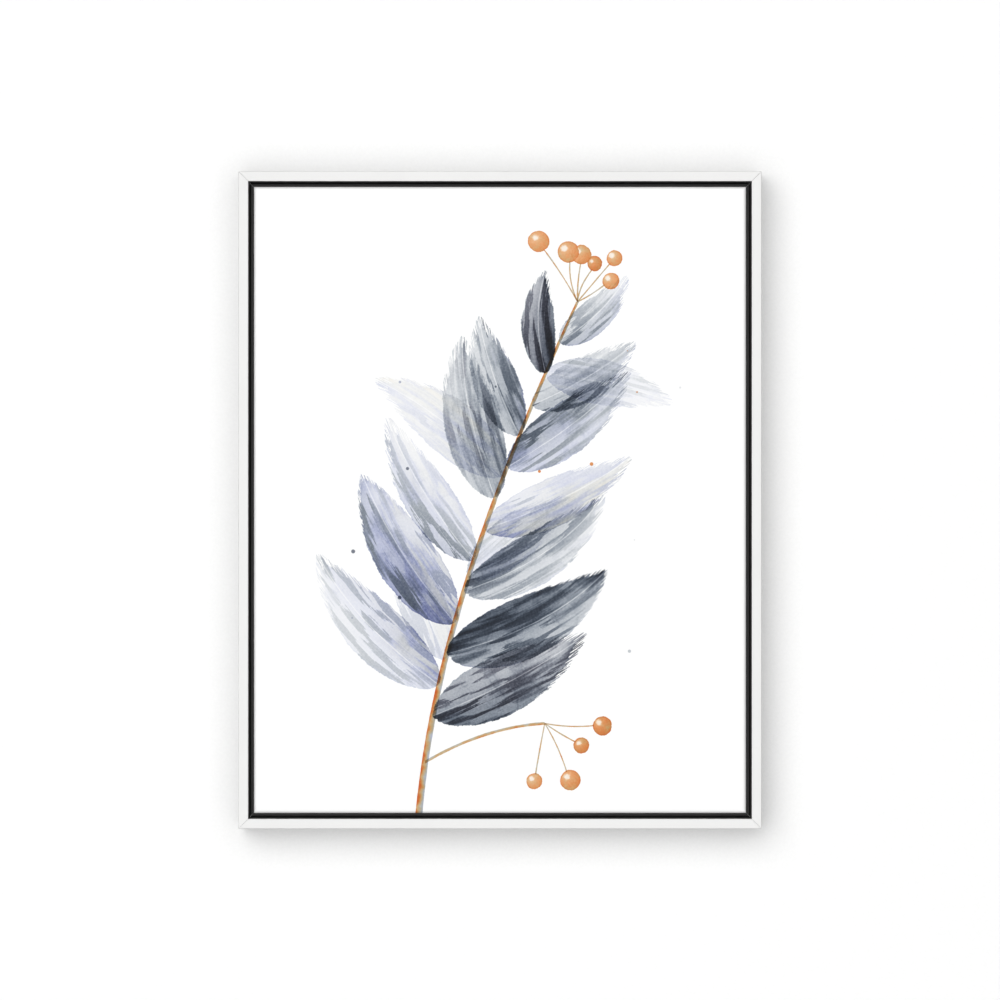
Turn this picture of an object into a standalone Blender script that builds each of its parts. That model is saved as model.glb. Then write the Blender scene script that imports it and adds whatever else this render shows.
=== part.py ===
"""A framed canvas print: a canvas stretched on pine bars, floating in a white frame with a black bed.

The frame hangs on a wall. The origin is where the wall's hook bears on the sawtooth hanger, in the
plane of the wall. +Z is up, and -Y is the way that the picture faces. All sizes are in metres.
"""

import math

import bmesh
import bpy

INCH = 0.0254

# The canvas, and what the front shows round it.
CANVAS_WIDTH = 22 * INCH
CANVAS_HEIGHT = 28 * INCH
FLOAT_GAP = 0.0061
RAIL_FACE = 0.0113

# How deep things are, from the frame's front edge to the wall.
RAIL_DEPTH = 1.5 * INCH
CANVAS_RECESS = 0.0020
BED_THICKNESS = 0.0090
STAND_OFF = 0.0030

# Clearances between pieces that touch.
TOUCH = 0.0003
MITRE_CUT = 0.00015

# The frame's sections.
BED_WIDTH = 0.0240
RAIL_FRONT_ROUND = 0.0009
RAIL_BACK_ROUND = 0.0006
BED_ROUND = 0.0012

# The cloth and the bars that stretch it.
CLOTH = 0.0008
CLOTH_EDGE_ROUND = 0.0045
CLOTH_TURN_IN = 0.0300
BAR_WIDTH = 0.0400
BAR_LIP_WIDTH = 0.0080
BAR_LIP_HEIGHT = 0.0035
BAR_INNER_ROUND = 0.0015

# The wedge-shaped keys that spread each corner of the bars.
KEY_LENGTH = 0.0340
KEY_THICKNESS = 0.0030
KEY_TIP_WIDTH = 0.0040
KEY_BUTT_WIDTH = 0.0140
KEY_IN_SLOT = 0.0080
KEY_LAYER = 0.0022
SLOT_PLAY = 0.0004
SLOT_WIDTH = 0.0086

# The screws through the bed into the bars.
SCREW_HEAD_RADIUS = 0.0038
SCREW_HEAD_HEIGHT = 0.0023
SCREW_SHANK_RADIUS = 0.0017
SCREW_LENGTH = 0.0220
SCREW_RECESS = (0.0046, 0.0010, 0.0009)
SCREWS_FROM_CORNER = 0.1300
SCREW_FROM_BAR_EDGE = 0.0120

# The sawtooth hanger and its two small screws.
HANGER_LENGTH = 0.0760
HANGER_HEIGHT = 0.0110
HANGER_SHEET = 0.0010
HANGER_RISE = 0.0013
HANGER_BEND = 0.0030
HANGER_TAB = 0.0110
TOOTH_DEPTH = 0.0016
TOOTH_COUNT = 11
TOOTH_PITCH = 0.0040
TAB_SCREW_SCALE = 0.55

# The bumpers that keep the lower edge off the wall.
BUMPER_RADIUS = 0.0050
BUMPER_ROUND = 0.0012
BUMPER_FROM_SIDE = 0.0600

# What follows from the sizes above.
BORDER = FLOAT_GAP + RAIL_FACE
FRAME_WIDTH = CANVAS_WIDTH + 2 * BORDER
FRAME_HEIGHT = CANVAS_HEIGHT + 2 * BORDER
FRAME_BACK = -STAND_OFF
FRAME_FRONT = FRAME_BACK - RAIL_DEPTH
BED_FRONT = FRAME_BACK - BED_THICKNESS
CLOTH_FRONT = FRAME_FRONT + CANVAS_RECESS
CLOTH_BACK = BED_FRONT - TOUCH
BAR_INSET = BORDER + CLOTH + TOUCH
BAR_FRONT = CLOTH_FRONT + CLOTH + TOUCH
BAR_BACK = CLOTH_BACK - CLOTH - TOUCH
BED_MIDDLE = RAIL_FACE + TOUCH + BED_WIDTH / 2
HOOK_DROP = BED_MIDDLE + HANGER_HEIGHT / 2 - TOOTH_DEPTH
CENTRE_HEIGHT = HOOK_DROP - FRAME_HEIGHT / 2

# Each side of the frame: its turn about Y, how far its outer edge is from the centre, and its length.
SIDES = {
    "top": (0.0, FRAME_HEIGHT / 2, FRAME_WIDTH),
    "right": (90.0, FRAME_WIDTH / 2, FRAME_HEIGHT),
    "bottom": (180.0, FRAME_HEIGHT / 2, FRAME_WIDTH),
    "left": (270.0, FRAME_WIDTH / 2, FRAME_HEIGHT),
}
CORNER_NAMES = {(-1, 1): "top_left", (1, 1): "top_right", (1, -1): "bottom_right", (-1, -1): "bottom_left"}
TO_THE_WALL = (math.radians(-90.0), 0.0, 0.0)


# ---------------------------------------------------------------- the scene

def clear_scene():
    """Removes every object, so that the script starts from nothing."""
    for thing in list(bpy.data.objects):
        bpy.data.objects.remove(thing)


def new_collection(name):
    """A collection of the scene."""
    made = bpy.data.collections.new(name)
    bpy.context.scene.collection.children.link(made)
    return made


def new_material(name, colour, roughness, metallic=0.0):
    """A plain Principled material."""
    made = bpy.data.materials.new(name)
    made.use_nodes = True
    shader = made.node_tree.nodes["Principled BSDF"]
    shader.inputs["Base Color"].default_value = (*colour, 1.0)
    shader.inputs["Roughness"].default_value = roughness
    shader.inputs["Metallic"].default_value = metallic
    made.diffuse_color = (*colour, 1.0)
    return made


def place(name, mesh, collection, finish, location=(0, 0, 0), turn=(0, 0, 0), parent=None):
    """An object that shows a mesh in one material."""
    if not mesh.materials:
        mesh.materials.append(finish)
    made = bpy.data.objects.new(name, mesh)
    made.location = location
    made.rotation_euler = turn
    made.parent = parent
    collection.objects.link(made)
    return made


def as_helper(thing):
    """Keeps a cutter out of renders and out of the part."""
    thing.hide_render = True
    thing.display_type = "WIRE"
    return thing


def cut_with(thing, cutters):
    """Cuts every object of a collection out of a thing."""
    cut = thing.modifiers.new("cut", "BOOLEAN")
    cut.operation = "DIFFERENCE"
    cut.solver = "EXACT"
    cut.operand_type = "COLLECTION"
    cut.collection = cutters


def finished_mesh(name, thing):
    """The thing's mesh with its modifiers applied; the thing is removed."""
    graph = bpy.context.evaluated_depsgraph_get()
    mesh = bpy.data.meshes.new_from_object(thing.evaluated_get(graph), depsgraph=graph)
    mesh.name = name
    bpy.data.objects.remove(thing)
    return mesh


# ---------------------------------------------------------------- sections and solids

def arc(centre, radius, start, stop, steps=4):
    """Points on an arc, with both ends, from one angle to another in degrees."""
    angles = [math.radians(start + (stop - start) * step / steps) for step in range(steps + 1)]
    return [(centre[0] + radius * math.cos(a), centre[1] + radius * math.sin(a)) for a in angles]


def plank_section(width, front, back, front_round, back_round):
    """A rectangle with all four corners rounded, as (inward, y) points."""
    return [
        *arc((front_round, front + front_round), front_round, 180, 270),
        *arc((width - front_round, front + front_round), front_round, 270, 360),
        *arc((width - back_round, back - back_round), back_round, 0, 90),
        *arc((back_round, back - back_round), back_round, 90, 180),
    ]


def stretcher_section():
    """A bar with a raised outer lip, from which its face slopes away behind the cloth."""
    lip_round = CLOTH_EDGE_ROUND - CLOTH - TOUCH
    low_front = BAR_FRONT + BAR_LIP_HEIGHT
    inner = BAR_WIDTH - BAR_INNER_ROUND
    return [
        *arc((lip_round, BAR_FRONT + lip_round), lip_round, 180, 270, steps=5),
        (BAR_LIP_WIDTH, BAR_FRONT),
        *arc((inner, low_front + BAR_INNER_ROUND), BAR_INNER_ROUND, 270, 360, steps=3),
        *arc((inner, BAR_BACK - BAR_INNER_ROUND), BAR_INNER_ROUND, 0, 90, steps=3),
        (0.0, BAR_BACK),
    ]


def flat_solid(name, outline, half_thickness):
    """A closed outline in the XY plane, filled and extruded both ways along Z, as a bmesh."""
    curve = bpy.data.curves.new(name, "CURVE")
    curve.dimensions = "2D"
    curve.fill_mode = "BOTH"
    curve.extrude = half_thickness
    line = curve.splines.new("POLY")
    line.points.add(len(outline) - 1)
    for point, (x, y) in zip(line.points, outline):
        point.co = (x, y, 0.0, 1.0)
    line.use_cyclic_u = True
    blank = bpy.data.objects.new(name, curve)
    bpy.context.scene.collection.objects.link(blank)
    mesh = finished_mesh(name, blank)
    solid = bmesh.new()
    solid.from_mesh(mesh)
    bpy.data.meshes.remove(mesh)
    bmesh.ops.remove_doubles(solid, verts=solid.verts, dist=0.00001)
    return solid


def as_mesh(name, solid, smooth_below=None):
    """Turns a bmesh's faces outward and makes a mesh of it."""
    solid.normal_update()
    bmesh.ops.recalc_face_normals(solid, faces=solid.faces)
    mesh = bpy.data.meshes.new(name)
    solid.to_mesh(mesh)
    solid.free()
    if smooth_below:
        mesh.shade_smooth()
        mesh.set_sharp_from_angle(angle=math.radians(smooth_below))
    return mesh


def mitred_bar(name, section, length):
    """A bar along X with its outer edge at z 0 and both ends sawn at 45 degrees.

    The section's points are (inward, y), and inward runs down from the outer edge.
    """
    bar = flat_solid(name, section, 1.0)
    for corner in bar.verts:
        inward, y, end = corner.co
        corner.co = (end * (length / 2 - inward - MITRE_CUT), y, -inward)
    return as_mesh(name, bar, smooth_below=35)


def ring_of_bars(label, section, inset, collection, finish, parent):
    """Four mitred bars round the picture, their outer edges inset from the frame's own."""
    made = []
    for side, (turn, reach, length) in SIDES.items():
        mesh = mitred_bar(f"{label}_{side}", section, length - 2 * inset)
        angle = math.radians(turn)
        spot = ((reach - inset) * math.sin(angle), 0.0, (reach - inset) * math.cos(angle))
        made.append(place(f"{label}_{side}", mesh, collection, finish, spot, (0, angle, 0), parent))
    return made


def turned_mesh(name, profile, steps=20):
    """A solid of revolution about Z from (radius, z) points, given from the top down."""
    outline = bpy.data.meshes.new(name)
    edges = [(start, start + 1) for start in range(len(profile) - 1)]
    outline.from_pydata([(radius, 0.0, z) for radius, z in profile], edges, [])
    blank = bpy.data.objects.new(name, outline)
    bpy.context.scene.collection.objects.link(blank)
    turn = blank.modifiers.new("turn", "SCREW")
    turn.steps = turn.render_steps = steps
    turn.use_merge_vertices = True
    turn.merge_threshold = 0.00001
    mesh = finished_mesh(name, blank)
    mesh.shade_smooth()
    mesh.set_sharp_from_angle(angle=math.radians(40))
    return mesh


def box_cutter(name, low, high, collection, parent):
    """A box between two corners, for cutting."""
    bpy.ops.mesh.primitive_cube_add(size=1.0)
    box = bpy.context.object
    box.name = name
    for holder in list(box.users_collection):
        holder.objects.unlink(box)
    collection.objects.link(box)
    box.parent = parent
    box.location = [(a + b) / 2 for a, b in zip(low, high)]
    box.scale = [b - a for a, b in zip(low, high)]
    return as_helper(box)


# ---------------------------------------------------------------- the frame

def build_frame(collection, centre, white, black, holes):
    """The white rails that show from the front, and the black bed that the canvas is screwed to."""
    rail = plank_section(RAIL_FACE, FRAME_FRONT, FRAME_BACK, RAIL_FRONT_ROUND, RAIL_BACK_ROUND)
    ring_of_bars("rail", rail, 0.0, collection, white, centre)
    bed = plank_section(BED_WIDTH, BED_FRONT, FRAME_BACK, BED_ROUND, BED_ROUND)
    for strip in ring_of_bars("bed", bed, RAIL_FACE + TOUCH, collection, black, centre):
        cut_with(strip, holes)


# ---------------------------------------------------------------- the canvas

def build_cloth(collection, centre, finish, holes):
    """The cloth, wrapped over the bars' rounded lips, down their sides and in under the bed."""
    depth = CLOTH_BACK - CLOTH_FRONT
    skin = bmesh.new()
    bmesh.ops.create_cube(skin, size=1.0)
    bmesh.ops.scale(skin, vec=(CANVAS_WIDTH, depth, CANVAS_HEIGHT), verts=skin.verts)
    bmesh.ops.translate(skin, vec=(0.0, CLOTH_FRONT + depth / 2, 0.0), verts=skin.verts)
    back = [face for face in skin.faces if face.normal.y > 0.5]
    bmesh.ops.inset_region(skin, faces=back, thickness=CLOTH_TURN_IN)
    bmesh.ops.delete(skin, geom=back, context="FACES")
    front = CLOTH_FRONT + depth / 10
    rim = [edge for edge in skin.edges if all(corner.co.y < front for corner in edge.verts)]
    bmesh.ops.bevel(skin, geom=rim, offset=CLOTH_EDGE_ROUND, segments=5, profile=0.5, affect="EDGES")
    mesh = bpy.data.meshes.new("canvas")
    skin.to_mesh(mesh)
    skin.free()
    mesh.shade_smooth()
    mesh.set_sharp_from_angle(angle=math.radians(35))
    cloth = place("canvas", mesh, collection, finish, parent=centre)
    wall = cloth.modifiers.new("cloth", "SOLIDIFY")
    wall.thickness = CLOTH
    wall.offset = -1.0
    wall.use_even_offset = True
    cut_with(cloth, holes)


# ---------------------------------------------------------------- the bars and their keys

def key_mesh(name, along, inward):
    """A wedge from its tip at the origin, with its straight edge and its width in given directions."""
    outline = [
        (0.0, 0.0), (KEY_LENGTH, 0.0), (KEY_LENGTH, KEY_BUTT_WIDTH),
        (KEY_LENGTH * 0.62, KEY_BUTT_WIDTH), (0.0, KEY_TIP_WIDTH),
    ]
    wedge = flat_solid(name, outline, KEY_THICKNESS / 2)
    for corner in wedge.verts:
        reach, width, y = corner.co
        x = along[0] * reach + inward[0] * width
        z = along[1] * reach + inward[1] * width
        corner.co = (x, y, z)
    return as_mesh(name, wedge)


def build_bars(collection, centre, pine, beech, holes, slots):
    """The four pine bars, with two keys and their slots at each inner corner."""
    inner_x = FRAME_WIDTH / 2 - BAR_INSET - BAR_WIDTH
    inner_z = FRAME_HEIGHT / 2 - BAR_INSET - BAR_WIDTH
    middle = (BAR_FRONT + BAR_BACK) / 2
    slot_reach = KEY_IN_SLOT + SLOT_PLAY
    half_slot = KEY_THICKNESS / 2 + SLOT_PLAY
    for (across, up), corner in CORNER_NAMES.items():
        # One key lies along the horizontal bar, with its tip in the upright bar.
        level = middle - KEY_LAYER
        spot = (across * (inner_x + KEY_IN_SLOT), level, up * (inner_z - TOUCH))
        name = f"key_{corner}_across"
        place(name, key_mesh(name, (-across, 0), (0, -up)), collection, beech, spot, parent=centre)
        ends = sorted((across * (inner_x - 0.002), across * (inner_x + slot_reach)))
        heights = sorted((up * inner_z, up * (inner_z - SLOT_WIDTH)))
        box_cutter(f"slot_{corner}_across", (ends[0], level - half_slot, heights[0]),
                   (ends[1], level + half_slot, heights[1]), slots, centre)
        # The other lies along the upright bar, with its tip in the horizontal bar.
        level = middle + KEY_LAYER
        spot = (across * (inner_x - TOUCH), level, up * (inner_z + KEY_IN_SLOT))
        name = f"key_{corner}_upright"
        place(name, key_mesh(name, (0, -up), (-across, 0)), collection, beech, spot, parent=centre)
        ends = sorted((across * inner_x, across * (inner_x - SLOT_WIDTH)))
        heights = sorted((up * (inner_z - 0.002), up * (inner_z + slot_reach)))
        box_cutter(f"slot_{corner}_upright", (ends[0], level - half_slot, heights[0]),
                   (ends[1], level + half_slot, heights[1]), slots, centre)
    for bar in ring_of_bars("bar", stretcher_section(), BAR_INSET, collection, pine, centre):
        cut_with(bar, slots)
        cut_with(bar, holes)


# ---------------------------------------------------------------- screws, hanger and bumpers

def screw_mesh():
    """A pan-head screw whose head stands on z 0, with a cross recess."""
    head = arc((0.0, 0.0), 1.0, 90, 0, steps=5)
    profile = [(SCREW_HEAD_RADIUS * x, SCREW_HEAD_HEIGHT * (0.35 + 0.65 * y)) for x, y in head]
    profile += [
        (SCREW_HEAD_RADIUS, 0.0), (SCREW_SHANK_RADIUS, 0.0),
        (SCREW_SHANK_RADIUS, -SCREW_LENGTH + 0.003), (0.0, -SCREW_LENGTH),
    ]
    screw = bpy.data.objects.new("screw", turned_mesh("screw", profile))
    bpy.context.scene.collection.objects.link(screw)
    cross = new_collection("cross_recess")
    length, width, depth = SCREW_RECESS
    for label, size in (("a", (length, width)), ("b", (width, length))):
        low = (-size[0] / 2, -size[1] / 2, SCREW_HEAD_HEIGHT - depth)
        high = (size[0] / 2, size[1] / 2, SCREW_HEAD_HEIGHT + depth)
        box_cutter(f"recess_{label}", low, high, cross, None)
    cut_with(screw, cross)
    mesh = finished_mesh("screw", screw)
    for cutter in list(cross.objects):
        bpy.data.objects.remove(cutter)
    bpy.data.collections.remove(cross)
    return mesh


def scaled(mesh, name, factor):
    """A copy of a mesh at another size."""
    made = mesh.copy()
    made.name = name
    copy = bmesh.new()
    copy.from_mesh(mesh)
    bmesh.ops.scale(copy, vec=(factor, factor, factor), verts=copy.verts)
    copy.to_mesh(made)
    copy.free()
    return made


def hole_cutter(name, radius, depth, spot, holes, parent):
    """A round cutter from behind the frame to a depth below the back of its bed."""
    bpy.ops.mesh.primitive_cylinder_add(vertices=16, radius=radius, depth=depth + 2 * STAND_OFF)
    hole = bpy.context.object
    hole.name = name
    for holder in list(hole.users_collection):
        holder.objects.unlink(hole)
    holes.objects.link(hole)
    hole.parent = parent
    hole.rotation_euler = TO_THE_WALL
    hole.location = (spot[0], FRAME_BACK + STAND_OFF - depth / 2, spot[2])
    return as_helper(hole)


def build_screws(collection, centre, steel, holes, mesh):
    """Two screws on each side, through the bed and the turned-in cloth into the bars."""
    inset = BORDER + SCREW_FROM_BAR_EDGE
    for side, (turn, reach, length) in SIDES.items():
        angle = math.radians(turn)
        for label, along in (("a", -1), ("b", 1)):
            offset = along * (length / 2 - SCREWS_FROM_CORNER)
            x = (reach - inset) * math.sin(angle) + offset * math.cos(angle)
            z = (reach - inset) * math.cos(angle) - offset * math.sin(angle)
            spot = (x, FRAME_BACK + TOUCH, z)
            place(f"bed_screw_{side}_{label}", mesh, collection, steel, spot, TO_THE_WALL, centre)
            radius = SCREW_SHANK_RADIUS + TOUCH
            hole_cutter(f"hole_{side}_{label}", radius, SCREW_LENGTH + TOUCH, spot, holes, centre)


def hanger_outline():
    """The hanger's front outline as (x, z) points, with its teeth along the lower edge."""
    half, top = HANGER_LENGTH / 2, HANGER_HEIGHT - TOOTH_DEPTH
    first = -TOOTH_COUNT * TOOTH_PITCH / 2
    low = -TOOTH_DEPTH
    corner = HANGER_HEIGHT / 2
    middle = (top + low) / 2
    left = arc((-half + corner, middle), corner, 90, 270, steps=8)
    right = arc((half - corner, middle), corner, -90, 90, steps=8)
    teeth = []
    for tooth in range(TOOTH_COUNT):
        start = first + tooth * TOOTH_PITCH
        teeth += [(start + TOOTH_PITCH * 0.12, low), (start + TOOTH_PITCH * 0.5, 0.0)]
        teeth += [(start + TOOTH_PITCH * 0.88, low)]
    return left + teeth + right


def build_hanger(collection, steel, small_screw, holes, centre):
    """A stamped strip: its tabs lie on the bed, and its toothed middle stands off for the hook."""
    plate = flat_solid("sawtooth_hanger", hanger_outline(), HANGER_SHEET / 2)
    outer_bend = HANGER_LENGTH / 2 - HANGER_TAB
    inner_bend = outer_bend - HANGER_BEND
    for bend in (-outer_bend, -inner_bend, inner_bend, outer_bend):
        everything = [*plate.verts, *plate.edges, *plate.faces]
        bmesh.ops.bisect_plane(plate, geom=everything, plane_co=(bend, 0, 0), plane_no=(1, 0, 0))
    for corner in plate.verts:
        x, z, depth = corner.co
        rise = min(max((outer_bend - abs(x)) / HANGER_BEND, 0.0), 1.0)
        corner.co = (x, HANGER_SHEET / 2 + depth + HANGER_RISE * rise, z)
    level = FRAME_BACK + TOUCH
    mesh = as_mesh("sawtooth_hanger", plate)
    hanger = place("sawtooth_hanger", mesh, collection, steel, (0, level, 0))
    tab_x = HANGER_LENGTH / 2 - HANGER_HEIGHT / 2
    tab_z = HANGER_HEIGHT / 2 - TOOTH_DEPTH
    for side, across in (("left", -1), ("right", 1)):
        spot = (across * tab_x, level + HANGER_SHEET + TOUCH, tab_z)
        place(f"hanger_screw_{side}", small_screw, collection, steel, spot, TO_THE_WALL)
        radius = SCREW_SHANK_RADIUS * TAB_SCREW_SCALE + TOUCH
        hole_cutter(f"tab_hole_{side}", radius, SCREW_LENGTH * TAB_SCREW_SCALE, spot, holes, None)
    cut_with(hanger, holes)


def build_bumpers(collection, centre, rubber):
    """Two clear-edged pads on the lower bed, whose flat tops meet the wall."""
    height = STAND_OFF - TOUCH
    rim = arc((BUMPER_RADIUS - BUMPER_ROUND, height - BUMPER_ROUND), BUMPER_ROUND, 90, 0, steps=4)
    mesh = turned_mesh("bumper", [(0.0, height), *rim, (BUMPER_RADIUS, 0.0), (0.0, 0.0)], steps=24)
    for side, across in (("left", -1), ("right", 1)):
        spot = (across * (FRAME_WIDTH / 2 - BUMPER_FROM_SIDE), FRAME_BACK + TOUCH,
                BED_MIDDLE - FRAME_HEIGHT / 2)
        place(f"bumper_{side}", mesh, collection, rubber, spot, TO_THE_WALL, centre)


# ---------------------------------------------------------------- the whole

def main():
    """Builds the framed canvas."""
    clear_scene()
    picture = new_collection("framed_canvas")
    holes = new_collection("screw_holes")
    slots = new_collection("key_slots")
    centre = bpy.data.objects.new("picture_centre", None)
    centre.location = (0.0, 0.0, CENTRE_HEIGHT)
    picture.objects.link(centre)

    white = new_material("white_lacquer", (0.84, 0.84, 0.83), 0.38)
    black = new_material("black_lacquer", (0.025, 0.025, 0.024), 0.55)
    pine = new_material("pine", (0.72, 0.54, 0.34), 0.62)
    beech = new_material("beech", (0.66, 0.46, 0.29), 0.60)
    cotton = new_material("primed_cotton", (0.90, 0.90, 0.88), 0.80)
    steel = new_material("zinc_plated_steel", (0.62, 0.62, 0.60), 0.34, metallic=1.0)
    rubber = new_material("bumper_rubber", (0.10, 0.10, 0.10), 0.65)

    screw = screw_mesh()
    small_screw = scaled(screw, "small_screw", TAB_SCREW_SCALE)
    build_frame(picture, centre, white, black, holes)
    build_cloth(picture, centre, cotton, holes)
    build_bars(picture, centre, pine, beech, holes, slots)
    build_screws(picture, centre, steel, holes, screw)
    build_hanger(picture, steel, small_screw, holes, centre)
    build_bumpers(picture, centre, rubber)


main()
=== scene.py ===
"""A framed canvas print, dressed and lit for a studio picture.

A cotton canvas is stretched over pine bars and floats in a slim white frame with a black bed, which
leaves a narrow shadow gap all round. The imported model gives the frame, the bars with their corner
keys, the screws, the hanger and the bumpers. Here they get their finishes, and the printed cloth, its
folded corners, the staples and the mitre nails are made. The wall, lights and camera follow.
"""

from __future__ import annotations

import logging
import math
from collections.abc import Callable, Iterator
from dataclasses import dataclass, field
from enum import Enum

import bpy
import numpy as np
from mathutils import Matrix, Vector

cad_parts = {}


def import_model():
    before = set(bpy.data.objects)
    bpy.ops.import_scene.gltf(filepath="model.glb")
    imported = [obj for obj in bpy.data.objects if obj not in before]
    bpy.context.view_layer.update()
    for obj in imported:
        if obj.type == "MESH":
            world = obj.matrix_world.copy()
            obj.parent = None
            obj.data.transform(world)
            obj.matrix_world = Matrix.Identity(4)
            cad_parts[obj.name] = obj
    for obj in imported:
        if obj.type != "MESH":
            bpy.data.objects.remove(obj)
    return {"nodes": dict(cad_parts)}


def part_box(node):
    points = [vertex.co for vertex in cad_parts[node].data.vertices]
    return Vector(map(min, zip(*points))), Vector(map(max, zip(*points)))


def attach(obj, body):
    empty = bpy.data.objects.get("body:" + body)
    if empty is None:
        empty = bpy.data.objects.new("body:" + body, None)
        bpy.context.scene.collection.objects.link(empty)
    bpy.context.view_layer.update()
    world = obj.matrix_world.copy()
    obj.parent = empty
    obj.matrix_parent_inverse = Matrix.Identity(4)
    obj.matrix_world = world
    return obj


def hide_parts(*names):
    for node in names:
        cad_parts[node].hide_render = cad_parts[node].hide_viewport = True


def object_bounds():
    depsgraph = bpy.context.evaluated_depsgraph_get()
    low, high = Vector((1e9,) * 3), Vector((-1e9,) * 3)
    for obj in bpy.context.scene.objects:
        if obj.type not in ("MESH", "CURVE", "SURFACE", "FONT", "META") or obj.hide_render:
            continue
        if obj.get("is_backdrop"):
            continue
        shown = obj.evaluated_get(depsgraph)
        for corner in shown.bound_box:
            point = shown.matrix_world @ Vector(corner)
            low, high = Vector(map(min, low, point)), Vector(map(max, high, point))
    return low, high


LOG = logging.getLogger("framed_canvas")
MM = 0.001
QUARTER = math.pi / 2
BODY = "root"
# Places that are closer than this count as the same.
NEAR = 0.01 * MM
# How far the cloth reaches in on the bars' backs, and how far short of the bed it lies there.
TURN_IN, UNDER_BED = 29.4 * MM, 0.4 * MM
# The angles in degrees above which an edge stays sharp, on soft pieces and on small hardware.
SOFT_CREASE, SMALL_CREASE = 50.0, 35.0
# The four corners, as steps across and up.
CORNERS = ((-1, -1), (-1, 1), (1, -1), (1, 1))
Colour = tuple[float, float, float]


# ---------------------------------------------------------------- colour

def srgb(code: str) -> Colour:
    """Turns a display colour into the linear numbers that a shader takes.

    Args:
        code: The colour as six hexadecimal digits.

    Returns:
        Linear red, green and blue.
    """
    parts = (int(code[start:start + 2], 16) / 255 for start in (0, 2, 4))
    red, green, blue = (p / 12.92 if p <= 0.04045 else ((p + 0.055) / 1.055) ** 2.4 for p in parts)
    return red, green, blue


# ---------------------------------------------------------------- shader building

def operator(operation: str, turned: bool = False) -> Callable[..., Wire]:
    """Makes a method of Wire that puts a Math node on its board.

    Args:
        operation: What the node does.
        turned: Whether the other number comes first.

    Returns:
        The method.
    """
    def method(self: Wire, other: Number = 0.0) -> Wire:
        """Returns the node's result for this wire and another number, if it takes one."""
        first, second = (other, self) if turned else (self, other)
        return self.board.maths(operation, first, second)
    return method


class Wire:
    """One output of a shader node, on which maths is written as Python expressions."""

    __add__, __radd__ = operator("ADD"), operator("ADD", turned=True)
    __sub__, __rsub__ = operator("SUBTRACT"), operator("SUBTRACT", turned=True)
    __mul__, __rmul__ = operator("MULTIPLY"), operator("MULTIPLY", turned=True)
    __truediv__, __abs__ = operator("DIVIDE"), operator("ABSOLUTE")
    at_most, at_least = operator("MINIMUM"), operator("MAXIMUM")
    fraction, sine = operator("FRACT"), operator("SINE")

    def __init__(self, board: Board, socket: bpy.types.NodeSocket) -> None:
        """Holds the socket and the board that its node is on."""
        self.board = board
        self.socket = socket

    def other(self, name: str) -> Wire:
        """Returns another output of the same node."""
        return Wire(self.board, self.socket.node.outputs[name])

    def rise(self, low: Number, high: Number) -> Wire:
        """Goes smoothly from 0 to 1 between two values.

        Args:
            low: The value up to which the result is 0.
            high: The value from which the result is 1.

        Returns:
            The eased step.
        """
        limits = {"Value": self, "From Min": low, "From Max": high}
        return self.board.node("ShaderNodeMapRange", {"interpolation_type": "SMOOTHSTEP"}, limits)


Number = Wire | float


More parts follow.
